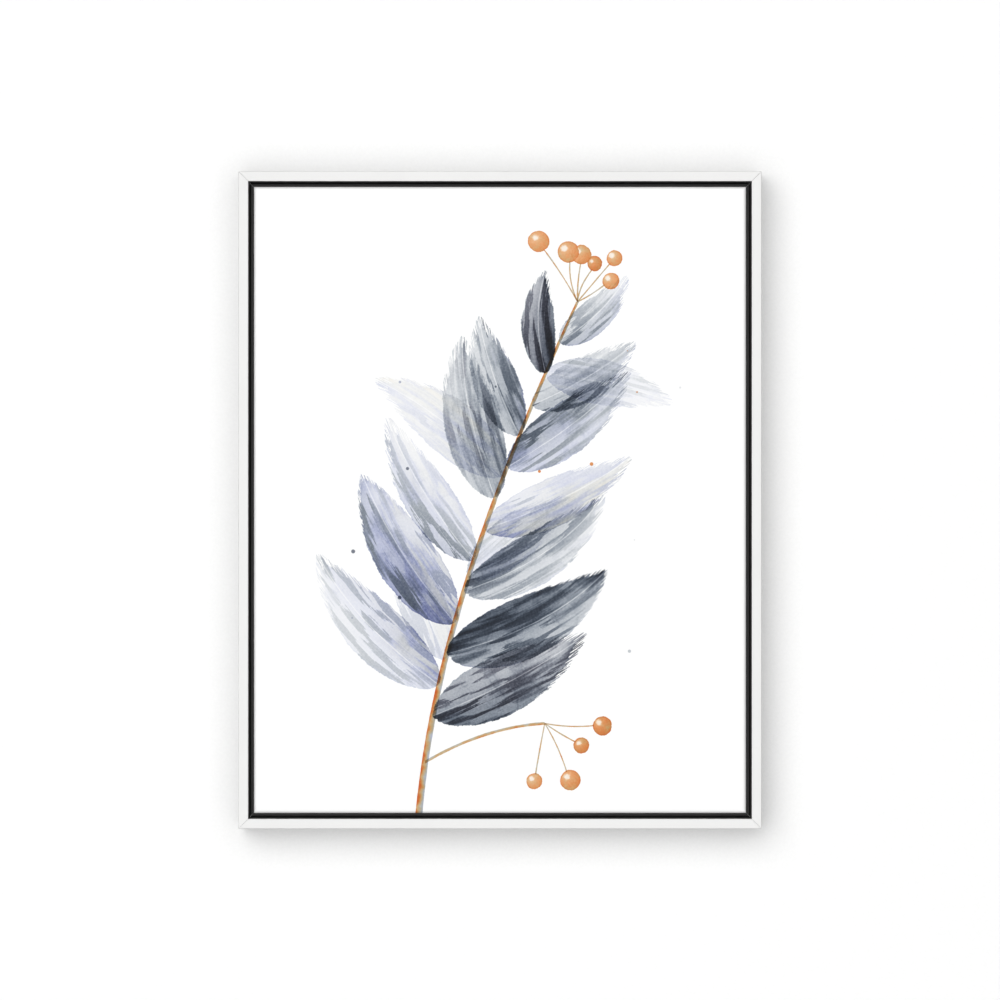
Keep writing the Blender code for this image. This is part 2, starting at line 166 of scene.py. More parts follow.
class Board:
    """The node tree of one material, and the one way that nodes are put on it."""

    def __init__(self, name: str, world: bpy.types.World | None = None) -> None:
        """Starts a material, or clears a world.

        Args:
            name: The material's name.
            world: A world to build on, in place of a new material.
        """
        self.material = None if world else bpy.data.materials.new(name)
        holder = world or self.material
        holder.use_nodes = True
        self.tree = holder.node_tree
        self.tree.nodes.clear()

    def node(self, kind: str, settings: dict[str, object] | None = None,
             sockets: dict[str | int, object] | None = None, pick: str | int = 0) -> Wire:
        """Adds a node.

        Args:
            kind: The node's type.
            settings: Its properties, set first. A ramp's are its stops, as places and colours.
            sockets: The value or the wire of each input that isn't left as it is.
            pick: The output to give back.

        Returns:
            That output.
        """
        made = self.tree.nodes.new(kind)
        for key, value in (settings or {}).items():
            if key == "stops":
                self._set_stops(made.color_ramp, value)
            else:
                setattr(made, key, value)
        for key, value in (sockets or {}).items():
            if isinstance(value, Wire):
                self.tree.links.new(value.socket, made.inputs[key])
            else:
                made.inputs[key].default_value = value
        return Wire(self, made.outputs[pick]) if made.outputs else None

    @staticmethod
    def _set_stops(ramp: bpy.types.ColorRamp, stops: list[tuple[float, Colour]]) -> None:
        """Gives a ramp its stops.

        Args:
            ramp: The ramp, which has two stops to begin with.
            stops: Each stop's place and colour, in order.
        """
        while len(ramp.elements) < len(stops):
            ramp.elements.new(1.0)
        for element, (place, colour) in zip(ramp.elements, stops):
            element.position = place
            element.color = (*colour, 1.0)

    def maths(self, operation: str, first: Number, second: Number = 0.0) -> Wire:
        """Adds a Math node.

        Args:
            operation: What it does.
            first: Its first number.
            second: Its second number.

        Returns:
            The result.
        """
        return self.node("ShaderNodeMath", {"operation": operation}, {0: first, 1: second})

    def vector(self, operation: str, first: object, second: object = (0.0, 0.0, 0.0)) -> Wire:
        """Adds a Vector Math node.

        Args:
            operation: What it does.
            first: Its first vector.
            second: Its second vector, or the number that SCALE takes.

        Returns:
            The resulting vector.
        """
        other = "Scale" if operation == "SCALE" else 1
        return self.node("ShaderNodeVectorMath", {"operation": operation}, {0: first, other: second})

    def parts(self, vector: Wire) -> tuple[Wire, Wire, Wire]:
        """Returns the three numbers of a vector."""
        x = self.node("ShaderNodeSeparateXYZ", None, {0: vector})
        return x, x.other("Y"), x.other("Z")

    def joined(self, x: Number, y: Number, z: Number) -> Wire:
        """Returns the vector that three numbers make."""
        return self.node("ShaderNodeCombineXYZ", None, {0: x, 1: y, 2: z})

    def distance(self, first: Wire, second: tuple[float, float, float]) -> Wire:
        """Returns how far a place is from a fixed one."""
        ends = {0: first, 1: second}
        return self.node("ShaderNodeVectorMath", {"operation": "DISTANCE"}, ends, pick="Value")

    def here(self) -> Wire:
        """Returns the place on the piece, in millimetres."""
        place = self.node("ShaderNodeTexCoord", pick="Object")
        return self.vector("SCALE", place, 1 / MM)

    def attribute(self, name: str) -> Wire:
        """Returns a vector that the piece's mesh holds."""
        return self.node("ShaderNodeAttribute", {"attribute_name": name}, pick="Vector")

    def noise(self, at: Wire, size: float, detail: float = 2.0, roughness: float = 0.5,
              distortion: float = 0.0) -> Wire:
        """Adds a noise pattern.

        Args:
            at: Where on the piece, in millimetres.
            size: How large its blotches are, in millimetres.
            detail: How many finer octaves it has.
            roughness: How strong those are.
            distortion: How much it swirls.

        Returns:
            A number round 0.5.
        """
        sockets = {"Vector": at, "Scale": 1 / size, "Detail": detail, "Roughness": roughness,
                   "Distortion": distortion}
        return self.node("ShaderNodeTexNoise", None, sockets)

    def blend(self, factor: Number, first: object, second: object, mode: str = "MIX") -> Wire:
        """Mixes two colours.

        Args:
            factor: How much of the second colour there is.
            first: The first colour.
            second: The second colour.
            mode: How they mix.

        Returns:
            The mixed colour.
        """
        pair = [(*c, 1.0) if isinstance(c, tuple) else c for c in (first, second)]
        settings = {"data_type": "RGBA", "blend_type": mode}
        return self.node("ShaderNodeMix", settings, {0: factor, 6: pair[0], 7: pair[1]}, pick=2)

    def ramp(self, factor: Wire, stops: list[tuple[float, Colour]]) -> Wire:
        """Returns the colour that a number has among the stops."""
        return self.node("ShaderNodeValToRGB", {"stops": stops}, {0: factor})

    def bump(self, height: Wire, distance: float, strength: float = 1.0) -> Wire:
        """Turns a height into a surface's tilt.

        Args:
            height: The height, from 0 to 1.
            distance: What 1 stands for, in metres.
            strength: How much of the tilt shows.

        Returns:
            The normal.
        """
        sockets = {"Height": height, "Distance": distance, "Strength": strength}
        return self.node("ShaderNodeBump", None, sockets)

    def surface(self, **sockets: object) -> bpy.types.Material:
        """Ends the material in a Principled shader.

        Args:
            **sockets: Its inputs, with underscores for spaces.

        Returns:
            The finished material.
        """
        named = {key.replace("_", " "): value for key, value in sockets.items()}
        for key, value in named.items():
            if isinstance(value, tuple) and len(value) == 3 and "Color" in key:
                named[key] = (*value, 1.0)
        shader = self.node("ShaderNodeBsdfPrincipled", None, named)
        self.node("ShaderNodeOutputMaterial", None, {"Surface": shader})
        return self.material


# ---------------------------------------------------------------- finishes

class Grain(Enum):
    """Which way the grain of a piece of wood runs."""

    ACROSS = "x"
    UPRIGHT = "z"


@dataclass(frozen=True)
class WhiteLacquer:
    """Satin white lacquer on the rails, with the black of the bed carried up their inner sides."""

    half_opening: tuple[float, float]
    middle: float
    white: Colour = srgb("E3E3E2")
    black: Colour = srgb("525251")

    def material(self) -> bpy.types.Material:
        """Builds the finish.

        Returns:
            The material.
        """
        board = Board("white_lacquer")
        here = board.here()
        x, _, z = board.parts(here)
        past_side = abs(x) - self.half_opening[0] / MM
        past_end = abs(z - self.middle / MM) - self.half_opening[1] / MM
        from_wall = past_side.at_least(past_end)
        sway = board.noise(here, 6.0, detail=1.0) * 0.3
        inner = 1 - (from_wall - sway).rise(0.05, 0.2)
        pores = board.noise(board.vector("MULTIPLY", here, (0.25, 1.0, 0.25)), 1.2, detail=3.0)
        cloud = board.noise(here, 60.0, detail=2.0)
        tone = board.blend(cloud.rise(0.35, 0.75), self.white, tuple(c * 0.985 for c in self.white))
        worn = board.blend(pores.rise(0.62, 0.8) * 0.25, tone, tuple(c * 0.9 for c in self.white))
        colour = board.blend(inner, worn, self.black)
        peel = board.noise(here, 2.4, detail=2.0)
        height = peel * 0.7 + pores * 0.3
        return board.surface(
            Base_Color=colour,
            Roughness=0.34 + cloud * 0.1 + inner * 0.12,
            Normal=board.bump(height, 0.03 * MM, 0.5),
            Specular_IOR_Level=0.45,
        )


@dataclass(frozen=True)
class BlackPaint:
    """Black paint on the bed, brushed on over wood, with a little dust."""

    black: Colour = srgb("323231")
    dusty: Colour = srgb("3F3E3C")

    def material(self) -> bpy.types.Material:
        """Builds the finish.

        Returns:
            The material.
        """
        board = Board("black_paint")
        here = board.here()
        brushed = board.noise(board.vector("MULTIPLY", here, (0.12, 1.0, 0.12)), 0.8, detail=3.0)
        dust = board.noise(here, 14.0, detail=5.0, roughness=0.65)
        specks = board.noise(here, 1.1, detail=1.0).rise(0.68, 0.76)
        cover = dust.rise(0.5, 0.8) * 0.5 + specks * 0.35
        return board.surface(
            Base_Color=board.blend(cover, self.black, self.dusty),
            Roughness=0.28 + brushed * 0.12 + cover * 0.2,
            Normal=board.bump(brushed, 0.06 * MM, 0.6),
            Specular_IOR_Level=0.5,
        )


@dataclass(frozen=True)
class BareWood:
    """Planed softwood or hardwood with growth rings, fibres and, in softwood, a knot here and there."""

    name: str
    grain: Grain
    pale: Colour
    ring: Colour
    knot: Colour
    ring_width: float
    knotty: bool = True

    # How far behind the wall's plane the rings' pith lies, and how far it wanders in depth and aside.
    PITH, WANDER = 46.0, (26.0, 34.0)
    # The size of the cells that may each hold a knot, on the bar's face and into its depth.
    KNOT_CELL = (150.0, 400.0)

    def material(self) -> bpy.types.Material:
        """Builds the finish.

        Returns:
            The material.
        """
        board = Board(f"{self.name}_{self.grain.name.lower()}")
        x, y, z = board.parts(board.here())
        along, over = (x, z) if self.grain is Grain.ACROSS else (z, x)
        line = board.joined(along * 0.04, y, over)
        sway = board.noise(board.joined(along * 0.012, y * 0.06, over * 0.06), 1.0, detail=3.0)
        # The rings are cylinders round the pith, flattened a little.
        deep = y - self.PITH + (sway - 0.5) * self.WANDER[0]
        aside = over + (sway - 0.5) * self.WANDER[1]
        radius = board.maths("SQRT", deep * deep + aside * aside * 0.35)
        knots = self._knots(board, along, over, y) if self.knotty else None
        if knots:
            radius = radius + knots * 6.0
        turn = (radius / self.ring_width + board.noise(line, 2.2) * 0.5).fraction()
        late = turn.rise(0.35, 0.93) * (1 - turn.rise(0.93, 1.0))
        fibre = board.noise(line, 0.5, detail=3.0, roughness=0.6)
        wood = board.blend(late * 0.62, self.pale, self.ring)
        wood = board.blend(fibre.rise(0.45, 0.8) * 0.35, wood, self.ring)
        if knots:
            wood = board.blend(knots.rise(0.42, 0.62) * 0.9, wood, self.knot)
        height = fibre * 0.7 + late * 0.3
        return board.surface(
            Base_Color=wood,
            Roughness=0.6 + fibre * 0.2 - late * 0.1,
            Normal=board.bump(height, 0.12 * MM, 0.7),
            Specular_IOR_Level=0.3,
        )

    def _knots(self, board: Board, along: Wire, over: Wire, deep: Wire) -> Wire:
        """Places the knots.

        Args:
            board: The material's board.
            along: Millimetres along the grain.
            over: Millimetres over the grain.
            deep: Millimetres into the bar.

        Returns:
            1 in the middle of a knot and 0 away from one.
        """
        face, depth = self.KNOT_CELL
        cell = board.joined(along / face, deep / depth, over / face)
        voronoi = board.node("ShaderNodeTexVoronoi", {"feature": "F1"}, {"Vector": cell, "Scale": 1.0})
        chance = board.parts(voronoi.other("Color"))[0].rise(0.45, 0.5)
        ragged = voronoi + (board.noise(board.joined(along, deep, over), 5.0) - 0.5) * 0.02
        return (1 - ragged.rise(0.015, 0.085)) * chance


@dataclass(frozen=True)
class ZincPlate:
    """Bright zinc plate, brushed by handling and clouded in places."""

    bright: Colour = srgb("CFCFCB")
    dull: Colour = srgb("A9A79B")

    def material(self) -> bpy.types.Material:
        """Builds the finish.

        Returns:
            The material.
        """
        board = Board("zinc_plate")
        here = board.here()
        cloud = board.noise(here, 3.5, detail=4.0)
        lines = board.noise(board.vector("MULTIPLY", here, (0.3, 1.0, 4.0)), 0.5, detail=2.0)
        return board.surface(
            Base_Color=board.blend(cloud.rise(0.35, 0.7), self.bright, self.dull),
            Metallic=1.0,
            Roughness=0.3 + cloud * 0.18 + lines * 0.08,
            Normal=board.bump(lines, 0.01 * MM, 0.5),
        )


@dataclass(frozen=True)
class BumperRubber:
    """Soft dark rubber with a fine matt bloom."""

    dark: Colour = srgb("232323")
    bloom: Colour = srgb("3B3B3A")

    def material(self) -> bpy.types.Material:
        """Builds the finish.

        Returns:
            The material.
        """
        board = Board("bumper_rubber")
        here = board.here()
        fine = board.noise(here, 0.35, detail=3.0)
        patch = board.noise(here, 4.0, detail=3.0)
        return board.surface(
            Base_Color=board.blend(patch.rise(0.4, 0.75), self.dark, self.bloom),
            Roughness=0.6 + patch * 0.2,
            Normal=board.bump(fine, 0.04 * MM, 0.6),
        )


def weave(board: Board, here: Wire, pitch: float) -> Wire:
    """Makes the height of a plain weave.

    Args:
        board: The material's board.
        here: The place on the cloth, in millimetres.
        pitch: The distance from one thread to the next, in millimetres.

    Returns:
        A height from about 0 to 1.
    """
    slub = (board.noise(here, 9.0, detail=2.0) - 0.5) * 1.2
    x, y, z = board.parts(here)
    turn = math.pi / pitch
    # On the canvas's sides one of the two threads runs into the depth.
    warp = ((x + y) * turn + slub).sine()
    weft = ((z + y) * turn + slub).sine()
    return warp * weft * 0.35 + board.noise(here, 0.9, detail=2.0) * 0.5 + 0.25


@dataclass(frozen=True)
class RawCotton:
    """The unprimed back of the canvas, off-white with flecks in its weave and painted shade in the weave's
    low points.
    """

    pale: Colour = srgb("EDE8DC")
    # The darker tone, used both for random clouds and as painted shade where the weave is low.
    shade: Colour = srgb("D6CEBD")
    fleck: Colour = srgb("9C8C6C")

    def material(self) -> bpy.types.Material:
        """Builds the finish.

        Returns:
            The material.
        """
        board = Board("raw_cotton")
        here = board.here()
        cloth = weave(board, here, 0.8)
        cloud = board.noise(here, 70.0, detail=4.0)
        flecks = board.noise(here, 2.2, detail=3.0, roughness=0.7).rise(0.70, 0.76)
        # Painted shade: where the weave is low between threads, the colour goes towards the darker tone.
        # That is half of the mix; the other half is random clouds.
        colour = board.blend(cloth.rise(0.2, 0.8) * 0.5 + cloud * 0.5, self.shade, self.pale)
        return board.surface(
            Base_Color=board.blend(flecks * 0.6, colour, self.fleck),
            Roughness=0.86,
            Normal=board.bump(cloth, 0.18 * MM, 0.8),
            Specular_IOR_Level=0.2,
        )


@dataclass(frozen=True)
class PrimedCotton:
    """The canvas's primed face where nothing is printed on it, white with the weave showing through."""

    ground: Colour = (0.9, 0.9, 0.896)

    def tone(self, board: Board, here: Wire) -> Wire:
        """Returns the primer's colour, which is a little thinner in places."""
        thin = board.noise(here, 90.0, detail=2.0)
        return board.blend(thin * 0.3, self.ground, tuple(c * 0.985 for c in self.ground))

    def material(self) -> bpy.types.Material:
        """Builds the finish.

        Returns:
            The material.
        """
        board = Board("primed_cotton")
        here = board.here()
        return self.surface(board, here, self.tone(board, here), board.noise(here, 2.6))

    @staticmethod
    def surface(board: Board, here: Wire, colour: Wire, grit: Wire) -> bpy.types.Material:
        """Ends a material in the primed weave.

        Args:
            board: The material's board.
            here: The place on the cloth, in millimetres.
            colour: Its colour.
            grit: Its fine grain, from 0 to 1.

        Returns:
            The finished material.
        """
        return board.surface(
            Base_Color=colour,
            Roughness=0.62 + grit * 0.1,
            Normal=board.bump(weave(board, here, 0.7), 0.05 * MM, 0.5),
            Specular_IOR_Level=0.25,
        )


# ---------------------------------------------------------------- the print's design

def smooth(value: np.ndarray, low: float, high: float) -> np.ndarray:
    """Goes smoothly from 0 to 1 between two values, for arrays."""
    part = np.clip((value - low) / (high - low), 0.0, 1.0)
    return part * part * (3 - 2 * part)


@dataclass(frozen=True)
class Leaf:
    """One painted leaf, in millimetres from the middle of the print."""

    x: float
    z: float
    heading: float
    length: float
    width: float
    bend: float
    strength: float
    hue: float
    drift: float
    lit: float

    STEPS = 56
    # How it narrows to its foot and to its tip, and how its bend gathers towards the tip.
    NARROWS, CURL = (0.62, 0.86), 1.4

    def half_width(self, part: np.ndarray) -> np.ndarray:
        """Measures how far the leaf reaches to each side of its midrib.

        Args:
            part: The places along it, from 0 at its foot to 1 at its tip.

        Returns:
            Half of its width at each place.
        """
        rising, falling = self.NARROWS
        widest = rising / (rising + falling)
        most = widest**rising * (1 - widest) ** falling
        part = np.clip(part, 0.0, 1.0)
        return self.width / 2 * part**rising * (1 - part) ** falling / most

    def spread(self, x: np.ndarray, z: np.ndarray) -> tuple[np.ndarray, np.ndarray]:
        """Measures points against the leaf's curved midrib.

        Args:
            x: Their places across the print.
            z: Their places up the print.

        Returns:
            How far along the midrib each is, and how far to its left.
        """
        part = np.linspace(0.0, 1.0, self.STEPS)
        angle = np.radians(self.heading + self.bend * part**self.CURL)
        step = self.length / (self.STEPS - 1)
        rib_x = self.x + step * np.concatenate([[0.0], np.cumsum(np.cos(angle[:-1]))])
        rib_z = self.z + step * np.concatenate([[0.0], np.cumsum(np.sin(angle[:-1]))])
        off_x, off_z = x[:, None] - rib_x, z[:, None] - rib_z
        nearest = np.argmin(off_x**2 + off_z**2, axis=1)
        rows = np.arange(len(x))
        dx, dz, turn = off_x[rows, nearest], off_z[rows, nearest], angle[nearest]
        along = nearest * step + dx * np.cos(turn) + dz * np.sin(turn)
        return along, dz * np.cos(turn) - dx * np.sin(turn)


@dataclass(frozen=True)
class Fruit:
    """One painted berry, in millimetres from the middle of the print."""

    x: float
    z: float
    radius: float
    strength: float


@dataclass(frozen=True)
class Stroke:
    """A thin painted line whose one coordinate is a cubic of the other."""

    upright: bool
    start: float
    end: float
    cubic: tuple[float, float, float, float]
    width: float
    taper: float
    hue: float
    strength: float

    @classmethod
    def between(cls, start: tuple[float, float], end: tuple[float, float], sag: float, width: float,
                hue: float, strength: float) -> Stroke:
        """Draws a bowed line from one point to another.

        Args:
            start: The point where it leaves what it grows on.
            end: The point where it stops.
            sag: How far its middle is off the straight line.
            width: Its width.
            hue: Its colour, as a place on the paint box.
            strength: How much paint it holds.

        Returns:
            The line.
        """
        upright = abs(end[1] - start[1]) >= abs(end[0] - start[0])
        first, last = (start, end) if not upright else (start[::-1], end[::-1])
        span = last[0] - first[0]
        slope = (last[1] - first[1]) / span
        curve = 4 * sag / span**2
        cubic = (
            first[1] - slope * first[0] - curve * first[0] * last[0],
            slope + curve * (first[0] + last[0]),
            -curve,
            0.0,
        )
        low, high = sorted((first[0], last[0]))
        return cls(upright, low, high, cubic, width, taper=0.0, hue=hue, strength=strength)


class PaintBox:
    """The pigments, in a row from cool to warm, as how much light each holds back."""

    SCALE = 4.0
    ROW = ((0.0, "3A3D49"), (0.2, "5F6875"), (0.38, "868E99"), (0.54, "9EA5C6"), (0.68, "A9ABA8"),
           (0.84, "C79C66"), (1.0, "CB6329"))

    @classmethod
    def stops(cls) -> list[tuple[float, Colour]]:
        """Returns the ramp's stops, scaled down to stay between 0 and 1."""
        return [(place, tuple(-math.log(c) / cls.SCALE for c in srgb(code))) for place, code in cls.ROW]


@dataclass
class Sprig:
    """A loose watercolour of a leafy twig with berries, which fills most of the sheet."""

    sheet: tuple[float, float]
    leaf_count: int = 13
    seed: int = 11
    foot: float = -92.0
    lean: tuple[float, float, float] = (52.0, 170.0, -42.0)
    rise_to: float = 225.0
    rng: np.random.Generator = field(init=False)

    # The parts of the stem where the side twig and the first leaf are, and the part that has leaves.
    TWIG_AT, FIRST_LEAF, LEAFY = 0.1, 0.19, 0.73
    TWIG_REACH = (136.0, 44.0)
    STRENGTHS = (0.55, 0.8, 1.1, 1.5)
    HUES, PALE_HUES = (0.12, 0.2, 0.3, 0.36, 0.4, 0.52, 0.62), (0.48, 0.54, 0.64)
    # The pale leaves behind: each one's part of the stem, its side, and the angle that it opens by.
    PALE = ((0.3, 1, 34.0), (0.46, -1, 30.0), (0.66, 1, 66.0), (0.86, -1, 74.0))
    # The sprays at the tip and on the twig: the way each faces, its fan, and how many berries it has.
    SPRAYS = ((74.0, 96.0, 6), (-52.0, 104.0, 4))

    def __post_init__(self) -> None:
        """Starts the draws."""
        self.rng = np.random.default_rng(self.seed)

    def stem_cubic(self) -> tuple[float, float, float, float]:
        """Works the stem's curve out from its foot, its lean and its height.

        Returns:
            The factors of its x as a cubic of z, from the constant up.
        """
        low = -self.sheet[1] / 2
        tall = self.rise_to - low
        a, b, c = self.lean[0] / tall, self.lean[1] / tall**2, self.lean[2] / tall**3
        return (
            self.foot - a * low + b * low**2 - c * low**3,
            a - 2 * b * low + 3 * c * low**2,
            b - 3 * c * low,
            c,
        )

    def stem_at(self, part: float) -> tuple[float, float, float]:
        """Finds a place on the stem.

        Args:
            part: How far up it is, from 0 at the sheet's lower edge to 1 at the tip.

        Returns:
            Its x and z, and the stem's heading there in degrees.
        """
        low = -self.sheet[1] / 2
        z = low + (self.rise_to - low) * part
        k0, k1, k2, k3 = self.stem_cubic()
        slope = k1 + 2 * k2 * z + 3 * k3 * z * z
        return k0 + k1 * z + k2 * z**2 + k3 * z**3, z, 90.0 - math.degrees(math.atan(slope))

    def leaves(self) -> Iterator[Leaf]:
        """Draws the leaves in turn, from the foot of the stem to its tip, then the pale ones behind.

        Yields:
            Each leaf.
        """
        for number in range(self.leaf_count):
            part = number / (self.leaf_count - 1)
            x, z, heading = self.stem_at(self.FIRST_LEAF + self.LEAFY * part)
            side = 1 if number % 2 else -1
            open_by = 62.0 - 26.0 * part + self.rng.uniform(-7.0, 7.0)
            length = (178.0 + 60.0 * math.sin(math.pi * (part * 0.8 + 0.12)) - 90.0 * part
                      + self.rng.uniform(-12.0, 12.0))
            yield Leaf(
                x=x, z=z, heading=heading + side * open_by, length=length,
                width=length * self.rng.uniform(0.29, 0.37), bend=-side * self.rng.uniform(14.0, 38.0),
                strength=self.rng.choice(self.STRENGTHS) * self.rng.uniform(0.85, 1.15),
                hue=self.rng.choice(self.HUES),
                drift=self.rng.uniform(-0.12, 0.14), lit=side * self.rng.choice([-1.0, 1.0, 1.0]),
            )
        for part, side, open_by in self.PALE:
            x, z, heading = self.stem_at(part)
            length = self.rng.uniform(150.0, 190.0)
            yield Leaf(
                x=x, z=z, heading=heading + side * open_by, length=length,
                width=length * 0.34, bend=side * self.rng.uniform(8.0, 24.0), strength=0.26,
                hue=self.rng.choice(self.PALE_HUES), drift=0.02, lit=0.0,
            )

    def fruits(self) -> list[tuple[Fruit, Stroke]]:
        """Draws the berries, in one spray at the tip and one low on a side twig.

        Returns:
            Each berry with its stalk.
        """
        found = []
        starts = (self.stem_at(1.0)[:2], self.twig_end())
        for (x, z), (facing, fan, count) in zip(starts, self.SPRAYS):
            for number in range(count):
                angle = math.radians(facing + fan * (number / (count - 1) - 0.5) + self.rng.uniform(-6, 6))
                reach = self.rng.uniform(30.0, 72.0)
                radius = self.rng.uniform(8.5, 12.5)
                end = (x + reach * math.cos(angle), z + reach * math.sin(angle))
                berry = (end[0] + radius * 0.9 * math.cos(angle), end[1] + radius * 0.9 * math.sin(angle))
                sag = self.rng.uniform(-4.0, 4.0)
                stalk = Stroke.between((x, z), end, sag, width=1.5, hue=0.8, strength=1.1)
                found.append((Fruit(*berry, radius, self.rng.uniform(0.75, 1.35)), stalk))
        return found

    def twig_end(self) -> tuple[float, float]:
        """Returns where the low side twig stops."""
        x, z, _ = self.stem_at(self.TWIG_AT)
        return x + self.TWIG_REACH[0], z + self.TWIG_REACH[1]

    def strokes(self) -> list[Stroke]:
        """Draws the stem, which runs on past the sheet's lower edge, and the side twig.

        Returns:
            The two lines.
        """
        stem = Stroke(upright=True, start=-self.sheet[1] / 2 - 60.0, end=self.rise_to,
                      cubic=self.stem_cubic(), width=8.5, taper=0.0085, hue=0.82, strength=1.25)
        foot = self.stem_at(self.TWIG_AT)[:2]
        twig = Stroke.between(foot, self.twig_end(), sag=9.0, width=3.2, hue=0.8, strength=1.1)
        return [stem, twig]


class WashLayers:
    """What the cloth's mesh holds of the painting: for each layer of paint, leaves that don't touch."""

    FAR = -30.0
    CLEARANCE = 7.0
    # How far past a leaf's length points are looked for, and how far apart the leaves' streaks are.
    MARGIN, APART = 20.0, 400.0
    SMALL_PART = 0.01

    def __init__(self, x: np.ndarray, z: np.ndarray) -> None:
        """Starts with blank layers.

        Args:
            x: The points' places across the print, in millimetres.
            z: Their places up the print.
        """
        self.x, self.z = x, z
        self.washes: list[np.ndarray] = []
        self.grains: list[np.ndarray] = []

    def _layer_for(self, points: np.ndarray) -> int:
        """Finds a layer that is still blank at some points, or starts one.

        Args:
            points: The numbers of the points.

        Returns:
            The layer's number.
        """
        for number, wash in enumerate(self.washes):
            if np.all(wash[points, 0] <= self.FAR):
                return number
        blank = np.zeros((len(self.x), 3), np.float32)
        blank[:, 0] = self.FAR
        self.washes.append(blank)
        self.grains.append(np.zeros((len(self.x), 3), np.float32))
        return len(self.washes) - 1

    def add_leaf(self, leaf: Leaf, number: int) -> None:
        """Paints a leaf into the first layer that is free there.

        Args:
            leaf: The leaf.
            number: Its number, which sets its streaks apart from others'.
        """
        near = np.flatnonzero(np.hypot(self.x - leaf.x, self.z - leaf.z) < leaf.length + self.MARGIN)
        along, across = leaf.spread(self.x[near], self.z[near])
        part = along / leaf.length
        half = leaf.half_width(part)
        slope = (leaf.half_width(part + self.SMALL_PART) - half) / (self.SMALL_PART * leaf.length)
        edge = (half - np.abs(across)) / np.sqrt(1 + slope**2)
        edge = np.where(part > 1, -(along - leaf.length) - np.abs(across), edge)
        edge = np.where(part < 0, along - np.abs(across), edge)
        kept = edge > -self.CLEARANCE
        near, along, across, part, half, edge = (v[kept] for v in (near, along, across, part, half, edge))
        layer = self._layer_for(near)
        over = np.clip(across / np.maximum(half, 4.0), -1.2, 1.2)
        charge = 0.62 + 0.75 * smooth(1 - part, 0.15, 1.0) + 0.35 * smooth(part, 0.82, 1.0)
        shade = 1 + 0.42 * leaf.lit * np.tanh(over * 2.5)
        self.washes[layer][near] = np.stack(
            [edge, leaf.strength * charge * shade, leaf.hue + leaf.drift * part - 0.05 * over], axis=1)
        dryness = smooth(part, 0.45, 1.0) * (0.4 + 0.6 * (leaf.strength < 1.0))
        self.grains[layer][near] = np.stack([along + self.APART * number, across, dryness], axis=1)

    def write(self, mesh: bpy.types.Mesh) -> None:
        """Stores the layers on a mesh, as one pair of vectors a point for each.

        Args:
            mesh: The cloth's mesh, whose points the layers were made for.
        """
        for number, (wash, grain) in enumerate(zip(self.washes, self.grains)):
            for label, values in (("wash", wash), ("grain", grain)):
                held = mesh.attributes.new(f"{label}_{number}", "FLOAT_VECTOR", "POINT")
                held.data.foreach_set("vector", values.ravel())


@dataclass(frozen=True)
class Ground:
    """The places on the print, and the unevenness that all its washes share."""

    board: Board
    x: Wire
    z: Wire
    flat: Wire
    tremble: Wire
    grit: Wire


